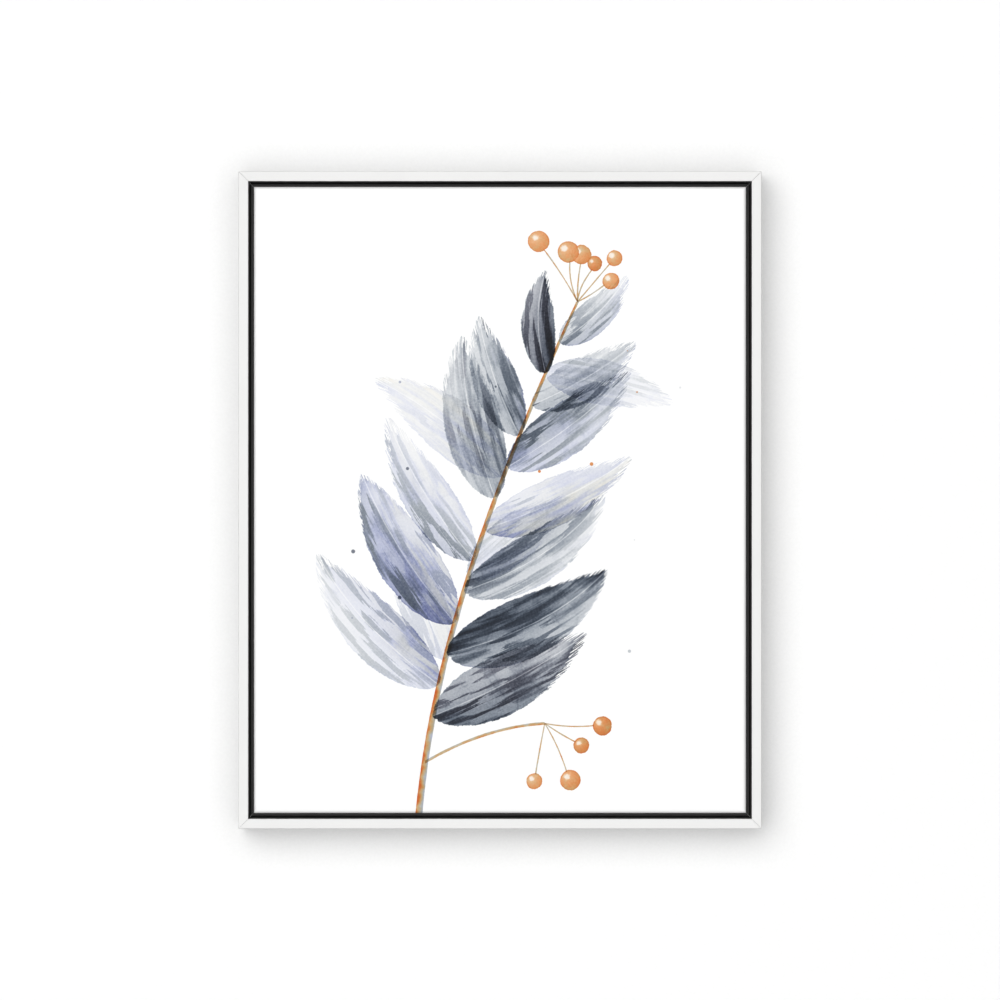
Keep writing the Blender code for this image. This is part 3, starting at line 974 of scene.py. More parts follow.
@dataclass(frozen=True)
class PrintedCotton:
    """Primed white cotton printed with the sprig, in washes that keep a watercolour's edges and grain."""

    sprig: Sprig
    layers: int
    middle: float
    face: float
    primer: PrimedCotton
    leaf_wobble: float = 2.6
    crisp: tuple[float, float] = (-0.15, 0.35)
    fades: tuple[float, float] = (7.0, 10.0)
    drop_spacing: float = 52.0

    def material(self) -> bpy.types.Material:
        """Builds the finish.

        Returns:
            The material.
        """
        board = Board("printed_cotton")
        here = board.here()
        x, depth, z = board.parts(here)
        z = z - self.middle / MM
        flat = board.joined(x, 0.0, z)
        tremble = (board.noise(flat, 16.0, detail=4.0, roughness=0.62) - 0.5) * 2 * self.leaf_wobble
        grit = board.noise(flat, 2.6, detail=3.0, roughness=0.7)
        ground = Ground(board, x, z, flat, tremble + (grit - 0.5) * 2.4, grit)
        paint = None
        for number in range(self.layers):
            paint = self._glaze(board, paint, *self._leaf_wash(ground, number))
        fruits = self.sprig.fruits()
        uneven = board.noise(flat, 11.0, detail=3.0)
        for stroke in [*self.sprig.strokes(), *(stalk for _, stalk in fruits)]:
            paint = self._glaze(board, paint, *self._line(ground, uneven, stroke))
        paint = self._glaze(board, paint, *self._berries(ground, [fruit for fruit, _ in fruits]))
        paint = self._glaze(board, paint, *self._splatter(ground))
        shown = 1 - (depth - self.face / MM).rise(*self.fades)
        held_back = board.vector("SCALE", board.vector("SCALE", paint, -PaintBox.SCALE), shown)
        tint = board.vector("POWER", (math.e, math.e, math.e), held_back)
        colour = board.vector("MULTIPLY", self.primer.tone(board, here), tint)
        return self.primer.surface(board, here, colour, grit)

    @staticmethod
    def _glaze(board: Board, under: Wire | None, amount: Wire, hue: Wire) -> Wire:
        """Lays one wash over those below it, and lets the heaviest paint settle to less.

        Args:
            board: The material's board.
            under: How much light the washes below hold back, or None for the first.
            amount: How much paint the wash holds.
            hue: Its colour, as a place on the paint box.

        Returns:
            How much light they hold back together.
        """
        settled = amount / (amount * 0.22 + 0.94)
        held = board.vector("SCALE", board.ramp(hue, PaintBox.stops()), settled)
        return board.vector("ADD", under, held) if under else held

    def _leaf_wash(self, ground: Ground, number: int) -> tuple[Wire, Wire]:
        """Paints the leaves of one layer.

        Args:
            ground: The places on the print.
            number: The layer's number.

        Returns:
            How much paint there is, and its hue.
        """
        board, grit = ground.board, ground.grit
        edge, strength, hue = board.parts(board.attribute(f"wash_{number}"))
        along, across, dry = board.parts(board.attribute(f"grain_{number}"))
        bristle = board.noise(board.joined(along * 0.05, across * 0.9, number * 9.0), 1.0, detail=3.0)
        sweep = board.noise(board.joined(along * 0.014, across * 0.13, number * 5.0), 1.0, detail=2.0,
                            distortion=0.25)
        moved = board.vector("ADD", ground.flat, (number * 37.0, 71.0 * number, number * 19.0))
        pool = board.noise(moved, 48.0, detail=2.0, roughness=0.45, distortion=0.4)
        inside = edge + ground.tremble - dry * bristle.rise(0.44, 0.6) * 9.0
        rim = 1 - inside.rise(0.1, 2.2)
        # A second wash goes over the first in long strokes while it is still damp.
        damp = pool.rise(0.4, 0.6) * 0.14
        second = (sweep + (bristle - 0.5) * 0.1 + (grit - 0.5) * 0.06).rise(0.49 - damp, 0.53 + damp)
        # A bloom has a faint feathered line where the paint was pushed to.
        bloom = (1 - (abs(pool - 0.57) * 26.0).at_most(1.0)) * 0.16
        rib = 1 - (abs(across) + bristle * 1.4 - 0.5).rise(0.2, 1.3)
        amount = strength * (0.26 + pool * 0.62 + second * 0.62 + rim * 0.26 + bloom)
        amount = amount * (1 - rib * 0.6) * (0.74 + bristle * 0.52) * (0.4 + grit * 1.2)
        toned = (hue - second * 0.14 + (pool - 0.5) * 0.2) * (1 - rim * 0.5) + rim * 0.27
        return (amount * inside.rise(*self.crisp)).at_least(0.0), toned

    @staticmethod
    def _line(ground: Ground, uneven: Wire, stroke: Stroke) -> tuple[Wire, Wire]:
        """Paints a stem, twig or stalk.

        Args:
            ground: The places on the print.
            uneven: How the paint has settled.
            stroke: The line.

        Returns:
            How much paint there is, and its hue.
        """
        run, off = (ground.z, ground.x) if stroke.upright else (ground.x, ground.z)
        k0, k1, k2, k3 = stroke.cubic
        curve = ((run * k3 + k2) * run + k1) * run + k0
        slope = (run * (3 * k3) + 2 * k2) * run + k1
        across = (off - curve) / ground.board.maths("SQRT", slope * slope + 1)
        half = stroke.width / 2 - (run - stroke.start) * (stroke.taper / 2)
        ends = (run - stroke.start).at_most(stroke.end - run)
        inside = (half - abs(across)).at_most(ends) + ground.tremble * 0.2
        amount = inside.rise(-0.1, 0.25) * (0.5 + uneven * 0.9) * (0.8 + ground.grit * 0.4)
        return amount * stroke.strength, stroke.hue - across * 0.05 + (uneven - 0.5) * 0.5

    def _berries(self, ground: Ground, fruits: list[Fruit]) -> tuple[Wire, Wire]:
        """Paints the berries, each with a light left bare on its upper left.

        Args:
            ground: The places on the print.
            fruits: The berries.

        Returns:
            How much paint there is, and its hue.
        """
        board, total = ground.board, None
        for fruit in fruits:
            from_middle = board.distance(ground.flat, (fruit.x, 0.0, fruit.z))
            inside = fruit.radius - from_middle + ground.tremble * 0.6
            glint = (fruit.x - fruit.radius * 0.36, 0.0, fruit.z + fruit.radius * 0.34)
            from_glint = board.distance(ground.flat, glint)
            bare = 1 - (from_glint + ground.tremble * 1.3).rise(fruit.radius * 0.16, fruit.radius * 0.4)
            shade = 0.5 + from_glint / (fruit.radius * 1.5) * 0.6 + (1 - inside.rise(0.1, 1.8)) * 0.35
            one = inside.rise(*self.crisp) * shade * (1 - bare * 0.8) * fruit.strength
            total = one if total is None else total.at_least(one)
        uneven = board.noise(ground.flat, 9.0, detail=2.0)
        return total * (0.3 + uneven * 1.3) * (0.6 + ground.grit * 0.8), 1.22 - uneven * 0.54

    def _splatter(self, ground: Ground) -> tuple[Wire, Wire]:
        """Flicks a few small drops round the sprig.

        Args:
            ground: The places on the print.

        Returns:
            How much paint there is, and its hue.
        """
        board = ground.board
        cells = board.node("ShaderNodeTexVoronoi", {"voronoi_dimensions": "2D"},
                           {"Vector": board.joined(ground.x, ground.z, 0.0), "Scale": 1 / self.drop_spacing})
        chance, size, hue = board.parts(cells.other("Color"))
        drop = 1 - (cells * self.drop_spacing - size * 2.4).rise(-0.1, 0.35)
        near = 1 - board.distance(ground.flat, (0.0, 0.0, 0.0)).rise(170.0, 260.0)
        return drop * chance.rise(0.74, 0.76) * near * 0.7, hue.rise(0.2, 0.9) * 0.9 + 0.1


# ---------------------------------------------------------------- modelling

class Bench:
    """Blender's modelling operators, for one piece at a time."""

    @staticmethod
    def clear() -> None:
        """Deselects everything."""
        bpy.ops.object.select_all(action="DESELECT")

    @staticmethod
    def hold(*pieces: bpy.types.Object) -> None:
        """Selects some pieces and nothing else.

        Args:
            *pieces: The pieces, of which the first is made active.
        """
        Bench.clear()
        for piece in pieces:
            piece.select_set(True)
        bpy.context.view_layer.objects.active = pieces[0]

    @staticmethod
    def take(name: str, scale: tuple[float, float, float] = (1.0, 1.0, 1.0)) -> bpy.types.Object:
        """Names the new primitive and puts its place and scale into its mesh.

        Args:
            name: The piece's name.
            scale: Its three sizes, where the primitive has a size of 1.

        Returns:
            The piece.
        """
        piece = bpy.context.object
        piece.name = piece.data.name = name
        piece.scale = scale
        bpy.ops.object.transform_apply(location=True, rotation=True, scale=True)
        return piece

    @staticmethod
    def cube(name: str, middle: Vector, size: tuple[float, float, float],
             turn: tuple[float, float, float] = (0.0, 0.0, 0.0)) -> bpy.types.Object:
        """Adds a box.

        Args:
            name: The piece's name.
            middle: Its middle.
            size: Its three sizes.
            turn: Its rotation in radians.

        Returns:
            The box, with its place in its mesh.
        """
        Bench.clear()
        bpy.ops.mesh.primitive_cube_add(size=1.0, location=middle, rotation=turn)
        return Bench.take(name, size)

    @staticmethod
    def pick(piece: bpy.types.Object, kind: str, rule: Callable[[object], bool]) -> None:
        """Opens a piece in edit mode with the parts that pass a rule selected.

        Args:
            piece: The piece.
            kind: VERT, EDGE or FACE.
            rule: The test, which is given a vertex, an edge or a polygon of the mesh.
        """
        mesh = piece.data
        for part in (*mesh.vertices, *mesh.edges, *mesh.polygons):
            part.select = False
        parts = {"VERT": mesh.vertices, "EDGE": mesh.edges, "FACE": mesh.polygons}[kind]
        for part in parts:
            part.select = rule(part)
        bpy.context.view_layer.objects.active = piece
        bpy.context.tool_settings.mesh_select_mode = (kind == "VERT", kind == "EDGE", kind == "FACE")
        bpy.ops.object.mode_set(mode="EDIT")

    @staticmethod
    def pick_all(piece: bpy.types.Object) -> None:
        """Opens a piece in edit mode with everything selected."""
        Bench.pick(piece, "FACE", lambda face: True)
        bpy.ops.mesh.select_all(action="SELECT")

    @staticmethod
    def close() -> None:
        """Leaves edit mode."""
        bpy.ops.object.mode_set(mode="OBJECT")

    @staticmethod
    def round_edges(piece: bpy.types.Object, rule: Callable[[list[Vector]], bool], width: float,
                    segments: int) -> None:
        """Bevels the edges whose ends pass a rule.

        Args:
            piece: The piece.
            rule: The test, which is given the places of an edge's two ends.
            width: How far each bevel reaches from its edge.
            segments: How many faces it has.
        """
        points = piece.data.vertices
        Bench.pick(piece, "EDGE", lambda edge: rule([points[number].co for number in edge.vertices]))
        bpy.ops.mesh.bevel(offset=width, segments=segments, affect="EDGES")
        Bench.close()

    @staticmethod
    def tidy(piece: bpy.types.Object, angle: float = 40.0) -> None:
        """Merges doubles, turns the faces outward and smooths what isn't a crease.

        Args:
            piece: The piece.
            angle: The angle in degrees above which an edge stays sharp.
        """
        Bench.pick_all(piece)
        bpy.ops.mesh.remove_doubles(threshold=NEAR)
        bpy.ops.mesh.normals_make_consistent(inside=False)
        Bench.close()
        Bench.hold(piece)
        bpy.ops.object.shade_smooth_by_angle(angle=math.radians(angle))

    @staticmethod
    def apply(piece: bpy.types.Object) -> None:
        """Applies all of a piece's modifiers.

        Args:
            piece: The piece.
        """
        Bench.hold(piece)
        for modifier in list(piece.modifiers):
            bpy.ops.object.modifier_apply(modifier=modifier.name)

    @staticmethod
    def join(pieces: list[bpy.types.Object], name: str) -> bpy.types.Object:
        """Joins pieces into one.

        Args:
            pieces: The pieces. The first takes in the others.
            name: The joined piece's name.

        Returns:
            The joined piece.
        """
        Bench.hold(*pieces)
        bpy.ops.object.join()
        pieces[0].name = pieces[0].data.name = name
        return pieces[0]

    @staticmethod
    def copies(piece: bpy.types.Object, name: str, places: list[Matrix]) -> bpy.types.Object:
        """Repeats a piece and joins the copies into one.

        Args:
            piece: What is repeated, round the origin. It is used up.
            name: The joined piece's name.
            places: Where each copy goes.

        Returns:
            The joined piece.
        """
        made = []
        for place in places:
            copy = bpy.data.objects.new(name, piece.data.copy())
            copy.data.transform(place)
            bpy.context.scene.collection.objects.link(copy)
            made.append(copy)
        bpy.data.objects.remove(piece)
        return Bench.join(made, name)

    @staticmethod
    def points(mesh: bpy.types.Mesh) -> np.ndarray:
        """Reads the places of a mesh's points.

        Args:
            mesh: The mesh.

        Returns:
            A row for each point.
        """
        flat = np.empty(len(mesh.vertices) * 3, np.float32)
        mesh.vertices.foreach_get("co", flat)
        return flat.reshape(-1, 3).astype(float)

    @staticmethod
    def dress(piece: bpy.types.Object, *finishes: bpy.types.Material) -> None:
        """Gives a piece its materials, in place of any that it has.

        Args:
            piece: The piece.
            *finishes: The materials, in the order of its slots.
        """
        piece.data.materials.clear()
        for finish in finishes:
            piece.data.materials.append(finish)


@dataclass(frozen=True)
class Block:
    """The box round an upright piece."""

    low: Vector
    high: Vector

    @property
    def middle(self) -> Vector:
        """Returns its middle."""
        return (self.low + self.high) / 2

    @property
    def half(self) -> tuple[float, float]:
        """Returns half of its width and of its height."""
        return (self.high.x - self.low.x) / 2, (self.high.z - self.low.z) / 2

    def corner(self, across: int, up: int, inset: float, level: float) -> Vector:
        """Finds a place near one of its four corners.

        Args:
            across: -1 for the left corners and 1 for the right.
            up: -1 for the lower corners and 1 for the upper.
            inset: How far inside the corner the place is, both ways.
            level: How deep it is.

        Returns:
            The place.
        """
        return Vector((self.middle.x + across * (self.half[0] - inset), level,
                       self.middle.z + up * (self.half[1] - inset)))


@dataclass
class StretchedCloth:
    """The printed cloth, drawn over the bars' lips, down their sides and on to their backs."""

    canvas: Block
    edge_round: float = 4.5 * MM
    back_round: float = 1.2 * MM
    turn_in: float = TURN_IN
    thickness: float = 0.42 * MM
    columns: int = 140
    rows: int = 178
    # The faces over the front edge, down the side, over the back edge and in on the back.
    steps: tuple[int, int, int, int] = (6, 4, 3, 5)
    # The raw end: how far its threads stray, its waves' height, and how far a radian of them runs.
    stray: float = 0.28 * MM
    wave: float = 0.7 * MM
    wave_runs: tuple[float, float] = (11.0 * MM, 13.0 * MM)
    seed: int = 5
    # The map: its margin, how the raw face is squeezed, and how far out and how wide its cut is drawn.
    margin: float = 0.01
    raw_squeeze: tuple[float, float] = (0.2, 0.96)
    cut_shown: tuple[float, float] = (4.0 * MM, 15.0)

    @property
    def front(self) -> float:
        """Returns how deep the cloth's face lies."""
        return self.canvas.low.y

    @property
    def back(self) -> float:
        """Returns how deep the turned-in cloth lies."""
        return self.canvas.high.y - UNDER_BED

    def profile(self) -> list[tuple[float, float]]:
        """Draws the cloth's way round an edge, from the front's rim to its raw end.

        Returns:
            Its points as (inset, y), without the rim itself.
        """
        over, down, under, inward = ([n / count for n in range(1, count + 1)] for count in self.steps)
        edge, back = self.edge_round, self.back_round
        straight = self.back - back - (self.front + edge)
        return [
            *((edge * (1 - math.sin(QUARTER * part)), self.front + edge * (1 - math.cos(QUARTER * part)))
              for part in over),
            *((0.0, self.front + edge + straight * part) for part in down),
            *((back * (1 - math.cos(QUARTER * part)), self.back - back * (1 - math.sin(QUARTER * part)))
              for part in under),
            *((back + (self.turn_in - back) * part, self.back) for part in inward),
        ]

    def way(self) -> np.ndarray:
        """Returns the profile with the rim that it starts from, a row for each point."""
        return np.array([(self.edge_round, self.front), *self.profile()])

    def build(self, sprig: Sprig, raw: bpy.types.Material) -> tuple[bpy.types.Object, int]:
        """Makes the cloth and stores the print's layers on it.

        Args:
            sprig: The print's design.
            raw: The finish of the cloth's unprimed back.

        Returns:
            The cloth, and how many layers of paint it holds.
        """
        middle = self.canvas.middle
        flat = [2 * (side - self.edge_round) for side in self.canvas.half]
        Bench.clear()
        bpy.ops.mesh.primitive_grid_add(
            x_subdivisions=self.columns, y_subdivisions=self.rows, size=1.0,
            location=(middle.x, self.front, middle.z), rotation=(QUARTER, 0, 0))
        cloth = Bench.take("printed_canvas", (flat[0], flat[1], 1.0))
        self._draw_round(cloth)
        self._fray(cloth)
        wall = cloth.modifiers.new("cloth", "SOLIDIFY")
        wall.thickness, wall.offset = self.thickness, -1.0
        wall.use_even_offset = True
        wall.material_offset, wall.material_offset_rim = 1, 1
        Bench.dress(cloth, raw, raw)
        Bench.apply(cloth)
        self._lay_flat(cloth.data)
        return cloth, self._paint(cloth.data, sprig)

    def _draw_round(self, cloth: bpy.types.Object) -> None:
        """Extrudes the grid's rim over the front edge, down the sides and in at the back.

        Args:
            cloth: The grid, which is the flat of the front.
        """
        uses: dict[tuple[int, int], int] = {}
        for face in cloth.data.polygons:
            for key in face.edge_keys:
                uses[key] = uses.get(key, 0) + 1
        Bench.pick(cloth, "EDGE", lambda edge: uses[edge.key] == 1)
        middle = self.canvas.middle
        inset, level = self.edge_round, self.front
        for new_inset, new_level in self.profile():
            shift = (0.0, new_level - level, 0.0)
            bpy.ops.mesh.extrude_edges_move(TRANSFORM_OT_translate={"value": shift})
            ratio = [(side - new_inset) / (side - inset) for side in self.canvas.half]
            bpy.ops.transform.resize(value=(ratio[0], 1.0, ratio[1]),
                                     center_override=(middle.x, new_level, middle.z))
            inset, level = new_inset, new_level
        Bench.close()
        Bench.tidy(cloth, SOFT_CREASE)

    def _fray(self, cloth: bpy.types.Object) -> None:
        """Makes the cut end of the cloth a little uneven, in waves with loose threads.

        Args:
            cloth: The cloth, still without thickness.
        """
        rng = np.random.default_rng(self.seed)
        middle, half = self.canvas.middle, self.canvas.half
        for vertex in cloth.data.vertices:
            from_side = half[0] - abs(vertex.co.x - middle.x)
            from_end = half[1] - abs(vertex.co.z - middle.z)
            inset = min(from_side, from_end)
            if vertex.co.y < self.back - NEAR or inset < self.turn_in - NEAR:
                continue
            # A side's raw end runs up and strays across, and an end's the other way round.
            run, off, side = (2, 0, 0) if from_side < from_end else (0, 2, 1)
            wave = self.wave * math.sin(vertex.co[run] / self.wave_runs[side])
            ragged = rng.normal(0.0, self.stray) + wave
            vertex.co[off] -= math.copysign(ragged, vertex.co[off] - middle[off])

    def _lay_flat(self, mesh: bpy.types.Mesh) -> None:
        """Maps the cloth as it was cut, with the printed face large on the map and the raw one narrow.

        Args:
            mesh: The finished mesh.
        """
        middle, half = self.canvas.middle, self.canvas.half
        points = Bench.points(mesh) - np.array(middle)
        across, up = points[:, 0], points[:, 2]
        inset = np.minimum(half[0] - np.abs(across), half[1] - np.abs(up))
        gone = self._way_round(inset, points[:, 1] + middle.y)
        under = self.back - middle.y - points[:, 1]
        corner = np.empty(len(mesh.loops), np.int32)
        mesh.loops.foreach_get("vertex_index", corner)
        flat = np.stack([across[corner], up[corner]], axis=1)
        width, height = self.flat_size()
        scale = (1 - 2 * self.margin) / height
        raw_middle = (1 - 1.5 * self.margin) / scale - width * (0.5 + self.raw_squeeze[0] / 2)
        # The raw end begins short of where the fraying moves it.
        short = 3 * MM
        raw_end = np.hypot(*np.diff(self.way(), axis=0).T).sum() - short
        for face in mesh.polygons:
            loops = slice(face.loop_start, face.loop_start + face.loop_total)
            folded = gone[corner[loops]]
            if folded.max() > NEAR:
                where = flat[loops].mean(axis=0)
                side = 0 if half[0] - abs(where[0]) < half[1] - abs(where[1]) else 1
                if folded.min() > raw_end and np.ptp(under[corner[loops]]) > self.thickness / 2:
                    # The cut end is thinner than the map could show, so it is drawn wider.
                    folded = folded + self.cut_shown[0] + self.cut_shown[1] * under[corner[loops]]
                reach = half[side] - self.edge_round + folded
                flat[loops, side] = math.copysign(1.0, where[side]) * reach
            if face.material_index:
                flat[loops] = flat[loops] * self.raw_squeeze + (raw_middle, 0.0)
        flat = flat * scale + (self.margin + width * scale / 2, 0.5)
        mesh.uv_layers.new(name="OFBake").uv.foreach_set("vector", flat.astype(np.float32).ravel())

    def _way_round(self, inset: np.ndarray, level: np.ndarray) -> np.ndarray:
        """Measures how far along the cloth points are from the rim of its front.

        Args:
            inset: How far in from the canvas's outline each is.
            level: How deep each is.

        Returns:
            The distances, which are 0 on the front.
        """
        way = self.way()
        start, step = way[:-1], np.diff(way, axis=0)
        length = np.hypot(step[:, 0], step[:, 1])
        before = np.concatenate([[0.0], np.cumsum(length)[:-1]])
        off = np.stack([inset, level], axis=1)[:, None, :] - start
        part = np.clip((off * step).sum(axis=2) / length**2, 0.0, 1.0)
        away = np.linalg.norm(off - part[:, :, None] * step, axis=2)
        nearest = away.argmin(axis=1)
        along = before[nearest] + part[np.arange(len(inset)), nearest] * length[nearest]
        on_front = (inset > self.edge_round) & (level < self.front + 1 * MM)
        return np.where(on_front, 0.0, along)

    def _paint(self, mesh: bpy.types.Mesh, sprig: Sprig) -> int:
        """Stores the print's layers on the cloth.

        Args:
            mesh: The finished mesh.
            sprig: The print's design.

        Returns:
            How many layers there are.
        """
        points = (Bench.points(mesh) - np.array(self.canvas.middle)) / MM
        layers = WashLayers(points[:, 0], points[:, 2])
        for number, leaf in enumerate(sprig.leaves()):
            layers.add_leaf(leaf, number)
        layers.write(mesh)
        return len(layers.washes)

    def flat_size(self) -> tuple[float, float]:
        """Works out the size that the cloth was cut to.

        Returns:
            Its width and its height.
        """
        rounds = self.edge_round + self.back_round
        more = 2 * (self.back - self.front + self.turn_in) + (math.pi - 4) * rounds
        return 2 * self.canvas.half[0] + more, 2 * self.canvas.half[1] + more


@dataclass
class CornerFolds:
    """The tucked cloth at each corner of the back: a flap whose folded edge runs along the mitre."""

    canvas: Block
    turn_in: float = TURN_IN
    long: float = 30.0 * MM
    wide: float = 17.0 * MM
    past: float = 6.0 * MM
    thickness: float = 0.38 * MM
    # As shares of the thickness: how round the folded edge is, and how far the far side is sunk.
    rounded: float = 0.45
    sunk: float = 0.9

    def build(self) -> bpy.types.Object:
        """Makes the four flaps.

        Returns:
            All of them as one piece.
        """
        folds = Bench.join([self._flap(across, up) for across, up in CORNERS], "corner_folds")
        Bench.tidy(folds, SOFT_CREASE)
        return folds

    def _flap(self, across: int, up: int) -> bpy.types.Object:
        """Makes one flap.

        Args:
            across: -1 for the left corners and 1 for the right.
            up: -1 for the lower corners and 1 for the upper.

        Returns:
            The flap.
        """
        level = self.canvas.high.y - self.thickness / 2
        corner = self.canvas.corner(across, up, 0.0, level)
        inward = Vector((-across, 0.0, -up)).normalized()
        beside = Vector((-across, 0.0, up)).normalized()
        reach = self.turn_in * math.sqrt(2) - self.long / 2 + self.past
        place = corner + inward * reach + beside * (self.wide / 2)
        turn = (0.0, QUARTER / 2 * across * up, 0.0)
        flap = Bench.cube("flap", place, (self.wide, self.thickness, self.long), turn)
        near_side = self.wide * 0.4
        # The two long edges on the folded side are rounded.
        Bench.round_edges(
            flap, lambda ends: abs(ends[0].y - ends[1].y) < NEAR
            and all((end - place).dot(-beside) > near_side for end in ends),
            self.thickness * self.rounded, 3)
        # The far side lies flush in the cloth, as it is the same cloth.
        Bench.pick(flap, "VERT", lambda v: (v.co - place).dot(beside) > near_side and v.co.y > level)
        bpy.ops.transform.translate(value=(0.0, -self.thickness * self.sunk, 0.0))
        Bench.close()
        # What reaches past the cloth's raw end is cut away.
        Bench.pick_all(flap)
        limit = corner + Vector((0.0, 0.0, -up * self.turn_in))
        bpy.ops.mesh.bisect(plane_co=limit, plane_no=(0.0, 0.0, -up), use_fill=True, clear_outer=True)
        Bench.close()
        return flap


@dataclass
class Staples:
    """Wire staples along the turned-in cloth, put in by hand and so a little askew."""

    canvas: Block
    crown: float = 10.6 * MM
    thick: float = 0.55 * MM
    wide: float = 1.15 * MM
    depth: float = 0.9 * MM
    inset: float = 24.2 * MM
    spacing: float = 45.0 * MM
    off_ends: float = 37.0 * MM
    rounding: float = 0.25 * MM
    # How far the wire's middle stands off the cloth, as a share of its thickness.
    off_cloth: float = 0.42
    # How each staple strays along its side, off its line, and askew.
    stray: tuple[float, float, float] = (2.2 * MM, 0.9 * MM, math.radians(7.0))
    seed: int = 3

    def build(self) -> bpy.types.Object:
        """Makes one staple and repeats it round the cloth.

        Returns:
            All the staples as one piece.
        """
        staple = Bench.cube("staple", Vector((0, 0, 0)), (self.crown, self.thick, self.wide))
        knee = self.crown / 2 - self.wide
        for cut in (-knee, knee):
            Bench.pick_all(staple)
            bpy.ops.mesh.bisect(plane_co=(cut, 0, 0), plane_no=(1, 0, 0))
            Bench.close()
        Bench.pick(staple, "FACE", lambda face: face.normal.y < -0.9 and abs(face.center.x) > knee)
        bpy.ops.mesh.extrude_region_move(TRANSFORM_OT_translate={"value": (0.0, -self.depth, 0.0)})
        Bench.close()
        Bench.round_edges(staple, self._outer, self.rounding, 2)
        Bench.tidy(staple, SMALL_CREASE)
        return Bench.copies(staple, "staples", self._places())

    def _outer(self, ends: list[Vector]) -> bool:
        """Tells whether an edge is on the staple's outside, where it is rounded.

        Args:
            ends: The places of the edge's ends.

        Returns:
            Whether both are on the outer face's border.
        """
        crosswise = abs(ends[0].x - ends[1].x) < NEAR and abs(ends[0].x) < self.crown / 2 - NEAR
        return not crosswise and all(end.y > self.thick / 2 - NEAR for end in ends)

    def _places(self) -> list[Matrix]:
        """Spaces the staples along the four sides, each a little astray.

        Returns:
            Where each goes.
        """
        rng = np.random.default_rng(self.seed)
        along_by, off_by, skew_by = self.stray
        middle, (wide, tall) = self.canvas.middle, self.canvas.half
        level = self.canvas.high.y - UNDER_BED + self.thick * self.off_cloth
        home = Matrix.Translation((middle.x, level, middle.z))
        found = []
        for side in range(4):
            half, reach = (tall, wide) if side % 2 else (wide, tall)
            around = Matrix.Rotation(QUARTER * side, 4, "Y")
            length = 2 * (half - self.off_ends)
            count = round(length / self.spacing)
            for number in range(count + 1):
                along = (number / count - 0.5) * length + rng.normal(0, along_by)
                off = reach - self.inset + rng.normal(0, off_by)
                skew = Matrix.Rotation(rng.normal(0, skew_by), 4, "Y")
                found.append(home @ around @ Matrix.Translation((along, 0.0, off)) @ skew)
        return found


@dataclass
class MitreNails:
    """The V-shaped nails that hold each mitre of the bed, driven almost flush."""

    frame: Block
    level: float
    leg: float = 5.2 * MM
    sheet: float = 0.7 * MM
    proud: float = 0.22 * MM
    rounding: float = 0.09 * MM
    splay: float = math.radians(30.0)
    insets: tuple[float, float] = (18.0 * MM, 29.0 * MM)

    def build(self) -> bpy.types.Object:
        """Makes one nail and repeats it in the mitres.

        Returns:
            All the nails as one piece.
        """
        low = Vector((0, 0, -self.leg * 0.35))
        nail = Bench.cube("nail", low, (self.sheet, 2 * self.proud, self.leg), (0.0, self.splay, 0.0))
        # One leg of the V is the box, and the other grows from its end.
        Bench.pick(nail, "FACE", lambda face: face.normal.z > 0.8)
        step = (self.leg * math.sin(self.splay), 0.0, -self.leg * math.cos(self.splay))
        bpy.ops.mesh.extrude_region_move(TRANSFORM_OT_translate={"value": step})
        Bench.close()
        Bench.round_edges(nail, lambda ends: all(end.y > 0 for end in ends), self.rounding, 2)
        Bench.tidy(nail, SMALL_CREASE)
        places = []
        for across, up in CORNERS:
            turn = Matrix.Rotation(math.atan2(across, up), 4, "Y")
            for inset in self.insets:
                spot = self.frame.corner(across, up, inset, self.level)
                places.append(Matrix.Translation(spot) @ turn)
        return Bench.copies(nail, "mitre_nails", places)


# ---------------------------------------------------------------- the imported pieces' finishes

@dataclass
class FrameDresser:
    """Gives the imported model's pieces their finishes."""

    nodes: dict[str, bpy.types.Object]

    def finish_of(self, name: str, finishes: dict[str, bpy.types.Material]) -> bpy.types.Material:
        """Picks a node's finish.

        Args:
            name: The node's name.
            finishes: The materials, by a short name.

        Returns:
            Its material.
        """
        across = name.endswith(("_top", "_bottom", "_across"))
        kinds = {
            "rail_": "white",
            "bed_screw_": "zinc",
            "bed_": "black",
            "bar_": "pine_across" if across else "pine_upright",
            "key_": "beech_across" if across else "beech_upright",
            "hanger_": "zinc",
            "sawtooth_": "zinc",
            "bumper_": "rubber",
        }
        return next(finishes[kind] for start, kind in kinds.items() if name.startswith(start))

    def dress(self, finishes: dict[str, bpy.types.Material]) -> None:
        """Assigns every node's finish.

        Args:
            finishes: The materials, by a short name.
        """
        for name, node in self.nodes.items():
            if name == "canvas":
                continue
            finish = self.finish_of(name, finishes)
            if not node.material_slots:
                node.data.materials.append(finish)
            for slot in node.material_slots:
                slot.material = finish
            LOG.info("dressed %s in %s", name, finish.name)


# ---------------------------------------------------------------- the studio

